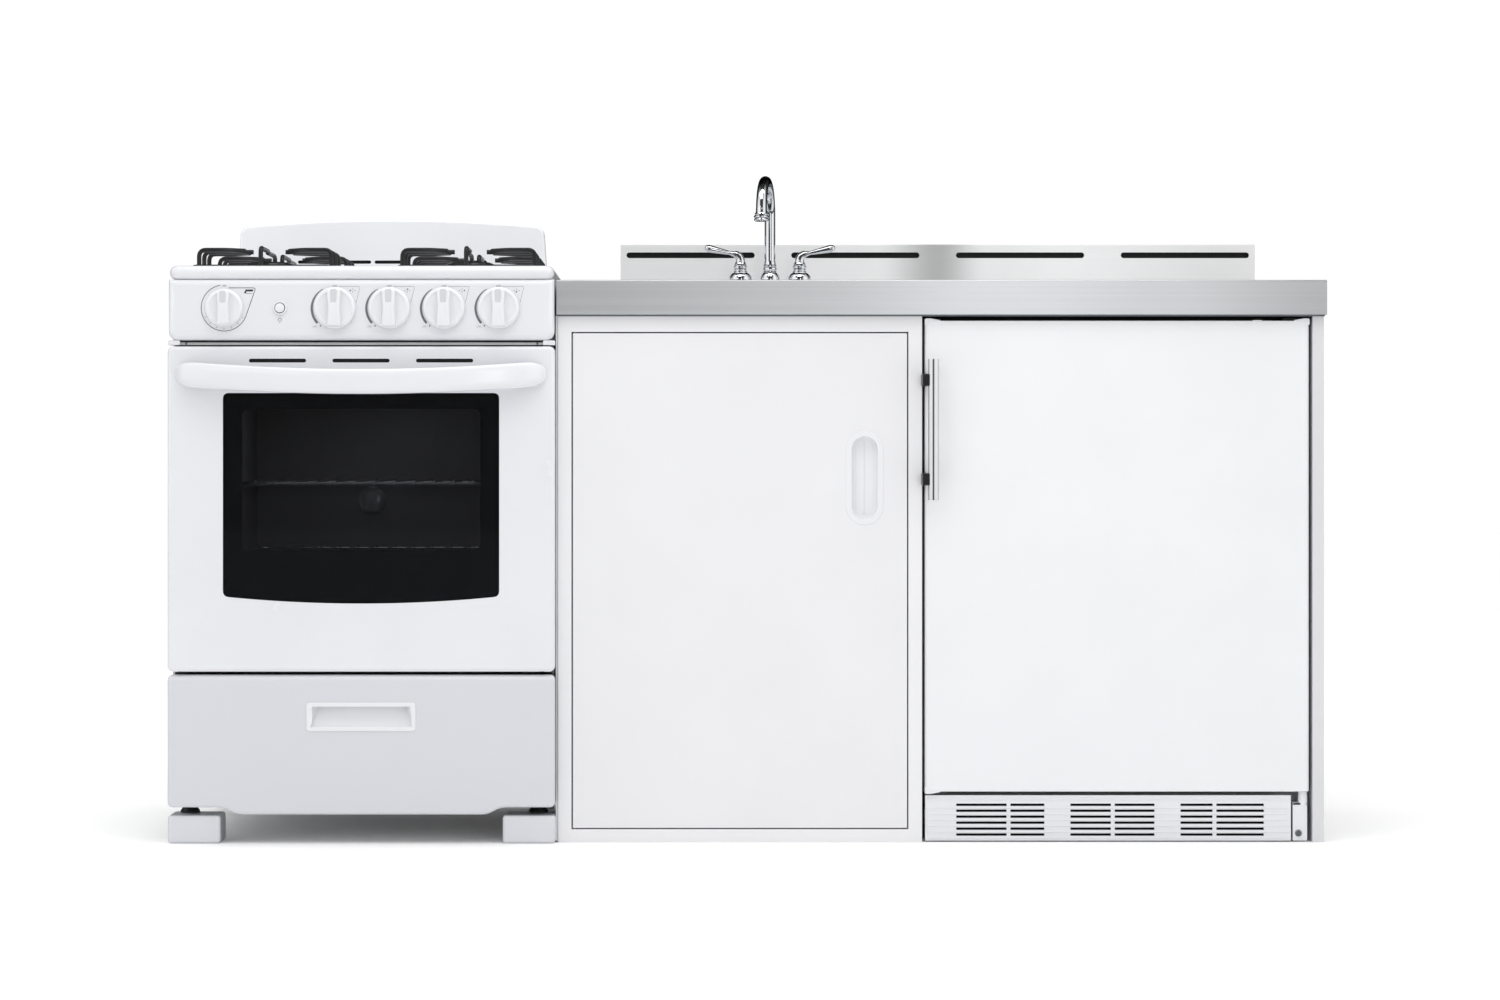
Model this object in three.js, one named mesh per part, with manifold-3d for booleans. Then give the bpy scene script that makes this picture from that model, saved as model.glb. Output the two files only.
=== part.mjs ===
// Kitchenette unit: gas range, sink worktop with base cabinet, and refrigerator.
// Millimetres, +Z up, front towards -Y, origin on the floor under the middle of the unit.
import * as THREE from 'three';
import { mergeVertices } from 'three/addons/utils/BufferGeometryUtils.js';
import Module from 'manifold-3d';

const wasm = await Module();
wasm.setup();

// ---------- main sizes ----------
const UNIT_WIDTH = 1829;
const WALL_DEPTH = 635;
const HANDLE_REACH = 62;
const FRONT = (HANDLE_REACH - WALL_DEPTH) / 2;
const BACK = FRONT + WALL_DEPTH;
const LEFT = -UNIT_WIDTH / 2;
const RIGHT = UNIT_WIDTH / 2;
const COUNTER_TOP = 889;
const SHEET = 2;
const GAP = 0.3;
const DOOR_GAP = 2;

const RANGE_WIDTH = 611;
const RANGE_MID = LEFT + RANGE_WIDTH / 2;
const RANGE_RIGHT = LEFT + RANGE_WIDTH;
const SECTION_GAP = 1.5;
const TOP_LEFT = RANGE_RIGHT + SECTION_GAP;

const ROUND = 20;
const SMALL_ROUND = 10;
const WELD = 1e-3;

// ---------- solids from three.js shapes ----------
function bare(geometry) {
  const plain = new THREE.BufferGeometry();
  plain.setAttribute('position', geometry.getAttribute('position').clone());
  if (geometry.index) plain.setIndex(geometry.index.clone());
  const welded = mergeVertices(plain, WELD);
  const index = welded.index.array;
  const kept = [];
  for (let i = 0; i < index.length; i += 3) {
    const a = index[i];
    const b = index[i + 1];
    const c = index[i + 2];
    if (a !== b && b !== c && a !== c) kept.push(a, b, c);
  }
  const points = welded.attributes.position.array;
  let volume = 0;
  const corner = (i) => new THREE.Vector3(points[3 * i], points[3 * i + 1], points[3 * i + 2]);
  for (let i = 0; i < kept.length; i += 3) {
    const a = corner(kept[i]);
    const b = corner(kept[i + 1]);
    const c = corner(kept[i + 2]);
    volume += a.dot(b.cross(c));
  }
  if (volume < 0) {
    for (let i = 0; i < kept.length; i += 3) {
      const spare = kept[i];
      kept[i] = kept[i + 1];
      kept[i + 1] = spare;
    }
  }
  welded.setIndex(kept);
  return welded;
}

function solid(geometry) {
  const welded = bare(geometry);
  return new wasm.Manifold(new wasm.Mesh({
    numProp: 3,
    vertProperties: new Float32Array(welded.attributes.position.array),
    triVerts: new Uint32Array(welded.index.array),
  }));
}

function join(pieces) {
  return pieces.reduce((whole, piece) => whole.add(piece));
}

function cut(body, tools) {
  return tools.reduce((whole, tool) => whole.subtract(tool), body);
}

function box(x0, x1, y0, y1, z0, z1) {
  const block = new THREE.BoxGeometry(x1 - x0, y1 - y0, z1 - z0);
  block.translate((x0 + x1) / 2, (y0 + y1) / 2, (z0 + z1) / 2);
  return solid(block);
}

function rounded(u0, u1, v0, v1, radius) {
  const shape = new THREE.Shape();
  const quarter = Math.PI / 2;
  shape.moveTo(u0 + radius, v0);
  shape.lineTo(u1 - radius, v0);
  shape.absarc(u1 - radius, v0 + radius, radius, -quarter, 0);
  shape.lineTo(u1, v1 - radius);
  shape.absarc(u1 - radius, v1 - radius, radius, 0, quarter);
  shape.lineTo(u0 + radius, v1);
  shape.absarc(u0 + radius, v1 - radius, radius, quarter, 2 * quarter);
  shape.lineTo(u0, v0 + radius);
  shape.absarc(u0 + radius, v0 + radius, radius, 2 * quarter, 3 * quarter);
  return shape;
}

function polygon(points) {
  return new THREE.Shape(points.map(([u, v]) => new THREE.Vector2(u, v)));
}

const NO_BEVEL = { edge: 0, rings: 1, arc: 4 };

function raise(shape, length, style) {
  const { edge, rings, arc } = { ...NO_BEVEL, ...style };
  const geometry = new THREE.ExtrudeGeometry(shape, {
    depth: length - 2 * edge,
    steps: 1,
    curveSegments: arc,
    bevelEnabled: edge > 0,
    bevelThickness: edge,
    bevelSize: edge,
    bevelOffset: -edge,
    bevelSegments: rings,
  });
  geometry.translate(0, 0, edge);
  return geometry;
}

// a shape drawn in X and Y, standing from z0 to z1
function upright(shape, z0, z1, style = {}) {
  const geometry = raise(shape, z1 - z0, style);
  geometry.translate(0, 0, z0);
  return solid(geometry);
}

// a shape drawn in X and Z, running from y0 back to y1
function frontal(shape, y0, y1, style = {}) {
  const geometry = raise(shape, y1 - y0, style);
  geometry.rotateX(Math.PI / 2);
  geometry.translate(0, y1, 0);
  return solid(geometry);
}

// a shape drawn in Y and Z, running from x0 to x1
function sideways(shape, x0, x1, style = {}) {
  const geometry = raise(shape, x1 - x0, style);
  const turn = new THREE.Matrix4().makeBasis(
    new THREE.Vector3(0, 1, 0),
    new THREE.Vector3(0, 0, 1),
    new THREE.Vector3(1, 0, 0),
  );
  geometry.applyMatrix4(turn);
  geometry.translate(x0, 0, 0);
  return solid(geometry);
}

// a profile of [radius, height] pairs turned about Z
function turned(profile, x, y, z, segments = ROUND) {
  const points = profile.map(([r, h]) => new THREE.Vector2(r, h));
  const geometry = new THREE.LatheGeometry(points, segments);
  geometry.rotateX(Math.PI / 2);
  geometry.translate(x, y, z);
  return solid(geometry);
}

// the same, with height running towards the front (-Y)
function turnedFront(profile, x, y, z, segments = ROUND) {
  const points = profile.map(([r, h]) => new THREE.Vector2(r, h));
  const geometry = new THREE.LatheGeometry(points, segments);
  geometry.rotateX(Math.PI);
  geometry.translate(x, y, z);
  return solid(geometry);
}

function post(x, y, z0, z1, radius, segments = SMALL_ROUND) {
  const geometry = new THREE.CylinderGeometry(radius, radius, z1 - z0, segments);
  geometry.rotateX(Math.PI / 2);
  geometry.translate(x, y, (z0 + z1) / 2);
  return solid(geometry);
}

function pegY(x, z, y0, y1, radius, segments = SMALL_ROUND) {
  const geometry = new THREE.CylinderGeometry(radius, radius, y1 - y0, segments);
  geometry.translate(x, (y0 + y1) / 2, z);
  return solid(geometry);
}

function pegX(y, z, x0, x1, radius, segments = SMALL_ROUND) {
  const geometry = new THREE.CylinderGeometry(radius, radius, x1 - x0, segments);
  geometry.rotateZ(Math.PI / 2);
  geometry.translate((x0 + x1) / 2, y, z);
  return solid(geometry);
}

// a path that passes through each point in turn, one step per point
class Waypoints extends THREE.Curve {
  constructor(points) {
    super();
    this.points = points;
  }
  getPoint(t) {
    const last = this.points.length - 1;
    const place = Math.min(Math.max(t, 0), 1) * last;
    const i = Math.min(Math.floor(place + 1e-9), last - 1);
    return this.points[i].clone().lerp(this.points[i + 1], place - i);
  }
  getPointAt(u) {
    return this.getPoint(u);
  }
  getTangentAt(u) {
    const last = this.points.length - 1;
    const i = Math.round(u * last);
    const before = this.points[Math.max(i - 1, 0)];
    const here = this.points[i];
    const after = this.points[Math.min(i + 1, last)];
    const incoming = here.clone().sub(before).normalize();
    const outgoing = after.clone().sub(here).normalize();
    return incoming.add(outgoing).normalize();
  }
}

// straight runs between corners, each corner rounded with the given bend
function bent(corners, bend, slices = 3) {
  const spots = corners.map(([x, y, z]) => new THREE.Vector3(x, y, z));
  const points = [spots[0]];
  for (let i = 1; i < spots.length - 1; i += 1) {
    const towards = spots[i - 1].clone().sub(spots[i]);
    const away = spots[i + 1].clone().sub(spots[i]);
    const reach = Math.min(bend, towards.length() * 0.45, away.length() * 0.45);
    const start = spots[i].clone().add(towards.setLength(reach));
    const end = spots[i].clone().add(away.setLength(reach));
    const arc = new THREE.QuadraticBezierCurve3(start, spots[i], end);
    points.push(...arc.getPoints(slices));
  }
  points.push(spots[spots.length - 1]);
  return points;
}

function circle(radius, sides) {
  const shape = new THREE.Shape();
  for (let i = 0; i < sides; i += 1) {
    const angle = ((i + 0.5) / sides) * 2 * Math.PI;
    const u = radius * Math.cos(angle);
    const v = radius * Math.sin(angle);
    if (i === 0) shape.moveTo(u, v);
    else shape.lineTo(u, v);
  }
  shape.closePath();
  return shape;
}

function rod(points, radius, sides = 6, bore = 0) {
  const shape = circle(radius, sides);
  if (bore > 0) shape.holes.push(circle(bore, sides));
  return solid(new THREE.ExtrudeGeometry(shape, {
    steps: points.length - 1,
    curveSegments: 1,
    bevelEnabled: false,
    extrudePath: new Waypoints(points),
  }));
}

// ---------- colours ----------
const WHITE = { color: 0xe9eaee, roughness: 0.35, metalness: 0 };
const SOFT_WHITE = { color: 0xe6e7ea, roughness: 0.45, metalness: 0 };
const STEEL = { color: 0xc3c4c6, roughness: 0.35, metalness: 1 };
const CHROME = { color: 0xdddfe2, roughness: 0.08, metalness: 1 };
const BLACK = { color: 0x1a1a1c, roughness: 0.5, metalness: 0 };
const IRON = { color: 0x232325, roughness: 0.6, metalness: 0.3 };
const GLASS = { color: 0x1c1c1e, roughness: 0.06, metalness: 0 };
const ENAMEL = { color: 0x2c2d30, roughness: 0.3, metalness: 0 };
const ZINC = { color: 0xa9acae, roughness: 0.45, metalness: 0.9 };
const GREY = { color: 0xc9cbcf, roughness: 0.5, metalness: 0 };
const CLEAR = { color: 0xdfe8ea, roughness: 0.1, metalness: 0 };

const group = new THREE.Group();
group.name = 'kitchenette_unit';

function add(name, body, look) {
  const mesh = body.getMesh();
  const geometry = new THREE.BufferGeometry();
  geometry.setAttribute('position', new THREE.BufferAttribute(new Float32Array(mesh.vertProperties), 3));
  geometry.setIndex(new THREE.BufferAttribute(new Uint32Array(mesh.triVerts), 1));
  geometry.computeVertexNormals();
  const material = new THREE.MeshStandardMaterial(look);
  const piece = new THREE.Mesh(geometry, material);
  piece.name = name;
  group.add(piece);
}

// =====================================================================
// RANGE
// =====================================================================
const PLATE = 3;
const BODY_FRONT = FRONT + 33;
const BODY_HALF = RANGE_WIDTH / 2 - 3;
const BODY_BOTTOM = 57;
const DRAWER_CEILING = 268;
const PANEL_LOW = COUNTER_TOP - 96;
const BURNER_FLOOR = PANEL_LOW + 1;
const RAIL_HIGH = PANEL_LOW - 3;
const RAIL_LOW = RAIL_HIGH - 4;
const RAIL_INSET = 12.5;
const RAIL_HALF = BODY_HALF - RAIL_INSET;

const DOOR_FACE = FRONT - 15;
const DOOR_LOW = 271;
const DOOR_HIGH = RAIL_LOW - 2.5;
const DOOR_SKIN_BACK = FRONT + 12;
const DOOR_BACK = FRONT + 27;
const PIVOT_IN = 12;
const OVEN_PIVOT_Y = DOOR_FACE + PIVOT_IN;
const OVEN_PIVOT_Z = DOOR_LOW + PIVOT_IN;
const EAR_INSET = 17.5;
const EAR_MID = BODY_HALF - EAR_INSET;
const EAR_HALF = 1.5;
const EAR_TALL = 8;
const EAR_PIN = 3;
const EAR_PIN_REACH = 9;

function rangeChassis() {
  const shell = box(RANGE_MID - BODY_HALF, RANGE_MID + BODY_HALF, BODY_FRONT, BACK, BODY_BOTTOM,
    COUNTER_TOP);
  const inner = BODY_HALF - PLATE;
  const x0 = RANGE_MID - inner;
  const x1 = RANGE_MID + inner;
  const over = 5;
  const burnerBay = box(x0, x1, BODY_FRONT + PLATE, BACK - PLATE, BURNER_FLOOR + PLATE, COUNTER_TOP + over);
  const ovenBay = box(x0, x1, BODY_FRONT - over, BACK - PLATE, DRAWER_CEILING + PLATE, BURNER_FLOOR);
  const drawerBay = box(x0, x1, BODY_FRONT - over, BACK - PLATE, BODY_BOTTOM + PLATE, DRAWER_CEILING);
  let body = cut(shell, [burnerBay, ovenBay, drawerBay]);
  const rail = box(RANGE_MID - RAIL_HALF, RANGE_MID + RAIL_HALF, FRONT, BODY_FRONT + 1, RAIL_LOW,
    RAIL_HIGH);
  const railWeb = box(RANGE_MID - RAIL_HALF, RANGE_MID + RAIL_HALF, BODY_FRONT, BODY_FRONT + PLATE,
    RAIL_LOW, BURNER_FLOOR + PLATE);
  const pieces = [body, rail, railWeb];
  for (const side of [-1, 1]) {
    const mid = RANGE_MID + side * EAR_MID;
    const wall = RANGE_MID + side * (BODY_HALF - PLATE / 2);
    const ear = box(mid - EAR_HALF, mid + EAR_HALF, OVEN_PIVOT_Y - 1, BODY_FRONT + 4,
      OVEN_PIVOT_Z - EAR_TALL, OVEN_PIVOT_Z + EAR_TALL);
    const nose = pegX(OVEN_PIVOT_Y, OVEN_PIVOT_Z, mid - EAR_HALF, mid + EAR_HALF, EAR_TALL);
    const pin = pegX(OVEN_PIVOT_Y, OVEN_PIVOT_Z, mid - EAR_PIN_REACH, mid + EAR_PIN_REACH, EAR_PIN);
    const root = box(Math.min(mid, wall), Math.max(mid, wall), BODY_FRONT, BODY_FRONT + 4,
      OVEN_PIVOT_Z - EAR_TALL, OVEN_PIVOT_Z + EAR_TALL);
    pieces.push(ear, nose, pin, root);
  }
  return join(pieces);
}
add('range_chassis', rangeChassis(), SOFT_WHITE);

// oven liner: an enamelled box open to the front, with a flange and rack ledges
const OVEN_INSET = 77.5;
const OVEN_HALF = BODY_HALF - OVEN_INSET;
const OVEN_LOW = 322;
const OVEN_HIGH = BURNER_FLOOR - 56;
const OVEN_DEPTH = 470;
const FLANGE = 26;
const FLANGE_FRONT = BODY_FRONT - 1.7;
const RACK_HEIGHTS = [453, 566];
const RACK_ROD = 3;
const LEDGE_REACH = 12;
const LEDGE_TALL = 4;

function ovenLiner() {
  const x0 = RANGE_MID - OVEN_HALF;
  const x1 = RANGE_MID + OVEN_HALF;
  const far = BODY_FRONT + OVEN_DEPTH;
  const outer = box(x0 - SHEET, x1 + SHEET, BODY_FRONT, far + SHEET, OVEN_LOW - SHEET, OVEN_HIGH + SHEET);
  const flange = box(
    x0 - FLANGE, x1 + FLANGE, FLANGE_FRONT, BODY_FRONT + 1, OVEN_LOW - FLANGE, OVEN_HIGH + FLANGE);
  const cavity = box(x0, x1, FLANGE_FRONT - 1, far, OVEN_LOW, OVEN_HIGH);
  const pieces = [cut(join([outer, flange]), [cavity])];
  for (const height of RACK_HEIGHTS) {
    for (const side of [-1, 1]) {
      const wall = RANGE_MID + side * (OVEN_HALF + 1);
      const inner = RANGE_MID + side * (OVEN_HALF - LEDGE_REACH);
      const top = height - RACK_ROD;
      pieces.push(box(
        Math.min(wall, inner), Math.max(wall, inner), BODY_FRONT + 10, far - 10, top - LEDGE_TALL, top));
    }
  }
  const strap = 20;
  for (const side of [-1, 1]) {
    const edge = RANGE_MID + side * (OVEN_HALF + FLANGE - 2);
    const wall = RANGE_MID + side * (BODY_HALF - PLATE);
    for (const z of [OVEN_LOW + 60, OVEN_HIGH - 60]) {
      pieces.push(box(
        Math.min(edge, wall), Math.max(edge, wall), FLANGE_FRONT + 0.7, BODY_FRONT + 1, z, z + strap));
    }
  }
  return join(pieces);
}
add('oven_liner', ovenLiner(), ENAMEL);

function ovenRack(height) {
  const half = OVEN_HALF - 3;
  const x0 = RANGE_MID - half;
  const x1 = RANGE_MID + half;
  const y0 = BODY_FRONT + 16;
  const y1 = BODY_FRONT + OVEN_DEPTH - 20;
  const thick = RACK_ROD;
  const outline = rounded(x0, x1, y0, y1, 20);
  outline.holes.push(rounded(x0 + 2 * thick, x1 - 2 * thick, y0 + 2 * thick, y1 - 2 * thick, 15));
  const pieces = [upright(outline, height - thick, height + thick, { arc: 3 })];
  const wires = 12;
  const wireRadius = 2;
  const pitch = (2 * half) / (wires + 1);
  for (let i = 1; i <= wires; i += 1) {
    const x = x0 + i * pitch;
    pieces.push(pegY(x, height + thick - wireRadius, y0 + thick, y1 - thick, wireRadius, 4));
  }
  const brace = (y0 + y1) / 2;
  pieces.push(pegX(brace, height - 0.5, x0 + thick, x1 - thick, wireRadius, 6));
  return join(pieces);
}
add('oven_rack_lower', ovenRack(RACK_HEIGHTS[0]), CHROME);
add('oven_rack_upper', ovenRack(RACK_HEIGHTS[1]), CHROME);

// oven burner tube under the oven floor
const TUBE = 11;
const TUBE_Z = 297;
function ovenBurner() {
  const near = BODY_FRONT + 60;
  const far = BODY_FRONT + 460;
  const pieces = [pegY(RANGE_MID, TUBE_Z, near, far, TUBE, 16)];
  for (const y of [near + 30, far - 40]) {
    pieces.push(box(RANGE_MID - 14, RANGE_MID + 14, y, y + 3, DRAWER_CEILING + PLATE, TUBE_Z));
  }
  pieces.push(box(RANGE_MID - 40, RANGE_MID + 40, far - 1, far + 4, DRAWER_CEILING + PLATE, TUBE_Z + 15));
  return join(pieces);
}
add('oven_burner', ovenBurner(), STEEL);

// cooktop pan with a raised rim and four burner holes
const HOB_FRONT = FRONT - 10;
const HOB_BACK = BACK - 32;
const HOB_HALF = RANGE_WIDTH / 2 - 2;
const RIM_TOP = COUNTER_TOP + 22;
const DISH_DEEP = 9;
const PAN_TOP = RIM_TOP - DISH_DEEP;
const PAN_SHEET = 3;
const PAN_UNDER = PAN_TOP - PAN_SHEET;
const RIM_WIDE = 22;
const BURNER_SHIFT = 11.25;
const BURNER_X = HOB_HALF / 2 + BURNER_SHIFT;
const BURNER_FRONT_Y = FRONT + 155;
const BURNER_REAR_Y = FRONT + 415;
const BURNER_HOLE = 27;
const BURNERS = [
  ['front_left', -BURNER_X, BURNER_FRONT_Y],
  ['front_right', BURNER_X, BURNER_FRONT_Y],
  ['rear_left', -BURNER_X, BURNER_REAR_Y],
  ['rear_right', BURNER_X, BURNER_REAR_Y],
];

function cooktop() {
  const x0 = RANGE_MID - HOB_HALF;
  const x1 = RANGE_MID + HOB_HALF;
  const edge = 9;
  const block = upright(
    rounded(x0, x1, HOB_FRONT, HOB_BACK, 14), COUNTER_TOP - edge, RIM_TOP, { edge, rings: 3, arc: 4 });
  const under = 12;
  const trim = box(x0 - 1, x1 + 1, HOB_FRONT - 1, HOB_BACK + 1, COUNTER_TOP - 30, COUNTER_TOP);
  const belly = box(x0 + under, x1 - under, HOB_FRONT + under, HOB_BACK - under, COUNTER_TOP - 1,
    PAN_UNDER);
  const dish = upright(
    rounded(x0 + RIM_WIDE, x1 - RIM_WIDE, HOB_FRONT + RIM_WIDE, HOB_BACK - RIM_WIDE, 18),
    PAN_TOP, RIM_TOP + 5);
  const holes = BURNERS.map(([, x, y]) => post(RANGE_MID + x, y, PAN_UNDER - 5, RIM_TOP, BURNER_HOLE,
    ROUND));
  return cut(block, [trim, belly, dish, ...holes]);
}
add('cooktop_pan', cooktop(), WHITE);

// burners: bowl, ported ring and cap turned as one casting
const BURNER_STEM = 24;
for (const [place, x, y] of BURNERS) {
  const profile = [
    [0, PAN_TOP - 18], [BURNER_STEM, PAN_TOP - 18], [BURNER_STEM, PAN_TOP], [42, PAN_TOP],
      [42, PAN_TOP + 3],
    [33, PAN_TOP + 5], [33, PAN_TOP + 14], [38, PAN_TOP + 15], [38, PAN_TOP + 20],
    [34, PAN_TOP + 23], [0, PAN_TOP + 23.5],
  ];
  add(`burner_${place}`, turned(profile, RANGE_MID + x, y, 0), IRON);
}

// grates: a base rail, two cross rails and bent fingers around each burner
const GRATE_ROD = 3;
const GRATE_SPACE = 57;
const GRATE_HALF = BURNER_X - GRATE_SPACE;
const GRATE_Z = PAN_TOP + GAP + GRATE_ROD;
const FINGER_TALL = 42;
const FINGER_Z = PAN_TOP + FINGER_TALL - GRATE_ROD;
const GRATE_NEAR = FRONT + 30;
const GRATE_FAR = FRONT + 540;
const GRATE_MIDDLE = (GRATE_NEAR + GRATE_FAR) / 2;
const FINGER_BEND = 12;
const FINGER_SPREAD = 62;
const FINGER_REACH = 80;
const KINK_REACH = 44;

function grate(side) {
  const mid = RANGE_MID + side * BURNER_X;
  const x0 = mid - GRATE_HALF;
  const x1 = mid + GRATE_HALF;
  const over = 1;
  const pieces = [];
  for (const x of [x0, x1]) {
    pieces.push(pegY(x, GRATE_Z, GRATE_NEAR - over, GRATE_FAR + over, GRATE_ROD, 6));
  }
  for (const y of [GRATE_NEAR, GRATE_MIDDLE, GRATE_FAR]) {
    pieces.push(pegX(y, GRATE_Z, x0 - over, x1 + over, GRATE_ROD, 6));
  }
  for (const y of [BURNER_FRONT_Y, BURNER_REAR_Y]) {
    for (const [x, way] of [[x0, 1], [x1, -1]]) {
      pieces.push(rod(bent([
        [x, y, GRATE_Z], [x, y, FINGER_Z], [x + way * FINGER_REACH, y, FINGER_Z],
      ], FINGER_BEND, 2), GRATE_ROD, 5));
      for (const turn of [-1, 1]) {
        const start = y + turn * FINGER_SPREAD;
        const tip = y + turn * FINGER_SPREAD * 0.55;
        pieces.push(rod(bent([
          [x, start, GRATE_Z], [x, start, FINGER_Z], [x + way * KINK_REACH, start, FINGER_Z],
          [x + way * (KINK_REACH + 26), tip, FINGER_Z],
        ], FINGER_BEND, 2), GRATE_ROD, 5));
      }
    }
  }
  const spans = [
    [GRATE_NEAR, BURNER_FRONT_Y - 26], [GRATE_MIDDLE, BURNER_FRONT_Y + 26],
    [GRATE_MIDDLE, BURNER_REAR_Y - 26], [GRATE_FAR, BURNER_REAR_Y + 26],
  ];
  spans.forEach(([from, to], i) => {
    const x = mid + (i === 1 ? -6 : 0) + (i === 2 ? 6 : 0);
    const route = bent([[x, from, GRATE_Z], [x, from, FINGER_Z], [x, to, FINGER_Z]], FINGER_BEND, 2);
    pieces.push(rod(route, GRATE_ROD, 5));
  });
  return join(pieces);
}
add('grate_left', grate(-1), IRON);
add('grate_right', grate(1), IRON);

// backguard: a hollow upstand with a gently arched top and three vent slots
const GUARD_INSET = 33.5;
const GUARD_HALF = RANGE_WIDTH / 2 - GUARD_INSET;
const GUARD_CORNER = COUNTER_TOP + 123;
const GUARD_TOP = COUNTER_TOP + 134;
const GUARD_FRONT = BACK - 30;
function backguard() {
  const arch = (half, corner, top, low, inset) => {
    const shape = new THREE.Shape();
    const steps = 12;
    const bend = 10;
    shape.moveTo(-half + RANGE_MID, low);
    shape.lineTo(half + RANGE_MID, low);
    shape.lineTo(half - inset + RANGE_MID, corner - bend);
    for (let i = 0; i <= steps; i += 1) {
      const u = 1 - (2 * i) / steps;
      const x = (half - inset - bend * 0.6) * u;
      shape.lineTo(x + RANGE_MID, corner + (top - corner) * (1 - u * u));
    }
    shape.lineTo(-half + inset + RANGE_MID, corner - bend);
    return shape;
  };
  const outer = frontal(
    arch(GUARD_HALF, GUARD_CORNER, GUARD_TOP, COUNTER_TOP, 8), GUARD_FRONT, BACK, { edge: 3, rings: 2 });
  const inner = frontal(
    arch(GUARD_HALF - 6, GUARD_CORNER - 6, GUARD_TOP - 6, COUNTER_TOP + 5, 8), GUARD_FRONT + 3, BACK + 5);
  const low = GUARD_TOP - 78;
  const high = low + 6.5;
  const slots = [[-31, 31], [-165, -37], [37, 165]].map(([a, b]) => frontal(
    rounded(RANGE_MID + a, RANGE_MID + b, low, high, 3), GUARD_FRONT - 5, GUARD_FRONT + 10, { arc: 3 }));
  return cut(outer, [inner, ...slots]);
}
add('backguard', backguard(), WHITE);

// control panel, gas manifold, knobs and light button
const PANEL_FACE = FRONT - 12;
const PANEL_HALF = RANGE_WIDTH / 2 - 1.5;
const KNOB_Z = COUNTER_TOP - 45;
const BURNER_KNOBS = [-41.5, 44.5, 130.5, 216.5];
const OVEN_KNOB_X = -215.5;
const BUTTON_X = -128;
const STEM = 4;
const STEM_END = FRONT - 30;
const PANEL_SHEET = 3;

function controlPanel() {
  const x0 = RANGE_MID - PANEL_HALF;
  const x1 = RANGE_MID + PANEL_HALF;
  const edge = 6;
  const block = frontal(
    rounded(x0, x1, PANEL_LOW, COUNTER_TOP + 30, 14),
    PANEL_FACE, BODY_FRONT + edge, { edge, rings: 3, arc: 5 });
  const top = box(x0 - 1, x1 + 1, PANEL_FACE - 1, BODY_FRONT + 20, COUNTER_TOP, COUNTER_TOP + 40);
  const rear = box(x0 - 1, x1 + 1, BODY_FRONT, BODY_FRONT + 20, PANEL_LOW - 1, COUNTER_TOP + 40);
  const hollow = box(
    x0 + 6, x1 - 6, PANEL_FACE + PANEL_SHEET, BODY_FRONT + 1, PANEL_LOW + 5, COUNTER_TOP - PANEL_SHEET);
  const holes = [OVEN_KNOB_X, ...BURNER_KNOBS].map((x) => pegY(
    RANGE_MID + x, KNOB_Z, PANEL_FACE - 5, FRONT, STEM + 1, SMALL_ROUND));
  const buttonHole = pegY(RANGE_MID + BUTTON_X, KNOB_Z, PANEL_FACE - 5, FRONT, BUTTON + GAP, ROUND);
  const ring = turnedFront(
    [[0, 0], [11, 0], [11, 3], [10, 4], [0, 4]], RANGE_MID + BUTTON_X, PANEL_FACE + 1, KNOB_Z);
  return cut(join([cut(block, [top, rear, hollow]), ring]), [...holes, buttonHole]);
}
const BUTTON = 7.6;
add('control_panel', controlPanel(), WHITE);

const MANIFOLD_HALF = 235;
const MANIFOLD_R = 9;
function gasManifold() {
  const y = FRONT + 18;
  const pieces = [pegX(y, KNOB_Z, RANGE_MID - MANIFOLD_HALF, RANGE_MID + MANIFOLD_HALF, MANIFOLD_R, 16)];
  for (const x of [OVEN_KNOB_X, ...BURNER_KNOBS]) {
    const mid = RANGE_MID + x;
    pieces.push(box(mid - 10, mid + 10, FRONT - 4, y, KNOB_Z - 11, KNOB_Z + 11));
    pieces.push(pegY(mid, KNOB_Z, STEM_END, FRONT - 3, STEM, SMALL_ROUND));
  }
  for (const x of [-170, 0, 170]) {
    pieces.push(box(RANGE_MID + x - 8, RANGE_MID + x + 8, y, BODY_FRONT, KNOB_Z - 6, KNOB_Z + 6));
  }
  return join(pieces);
}
add('gas_manifold', gasManifold(), ZINC);

const KNOB_BACK = PANEL_FACE - 0.5;
function knob(x, radius, grip) {
  const mid = RANGE_MID + x;
  const skirt = turnedFront([
    [0, 0], [radius, 0], [radius, 4], [radius - 1.5, 7], [radius - 6, 9], [0, 11],
  ], mid, KNOB_BACK, KNOB_Z, 24);
  const bar = frontal(
    rounded(mid - grip / 2, mid + grip / 2, KNOB_Z - radius + 2, KNOB_Z + radius - 2, grip * 0.45),
    KNOB_BACK - 24, KNOB_BACK - 3, { edge: 3, rings: 1, arc: 3 });
  const bore = pegY(mid, KNOB_Z, STEM_END - 1, KNOB_BACK + 1, STEM + GAP, SMALL_ROUND);
  return cut(join([skirt, bar]), [bore]);
}
BURNER_KNOBS.forEach((x, i) => add(`burner_knob_${i + 1}`, knob(x, 33, 21), WHITE));
add('oven_knob', knob(OVEN_KNOB_X, 30, 19), WHITE);

add('oven_light_button', turnedFront([
  [0, -13], [9.5, -13], [9.5, -10.5], [BUTTON, -10.5], [BUTTON, 5], [BUTTON - 1, 6], [0, 6.3],
], RANGE_MID + BUTTON_X, PANEL_FACE - 6 + 6, KNOB_Z), WHITE);

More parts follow.
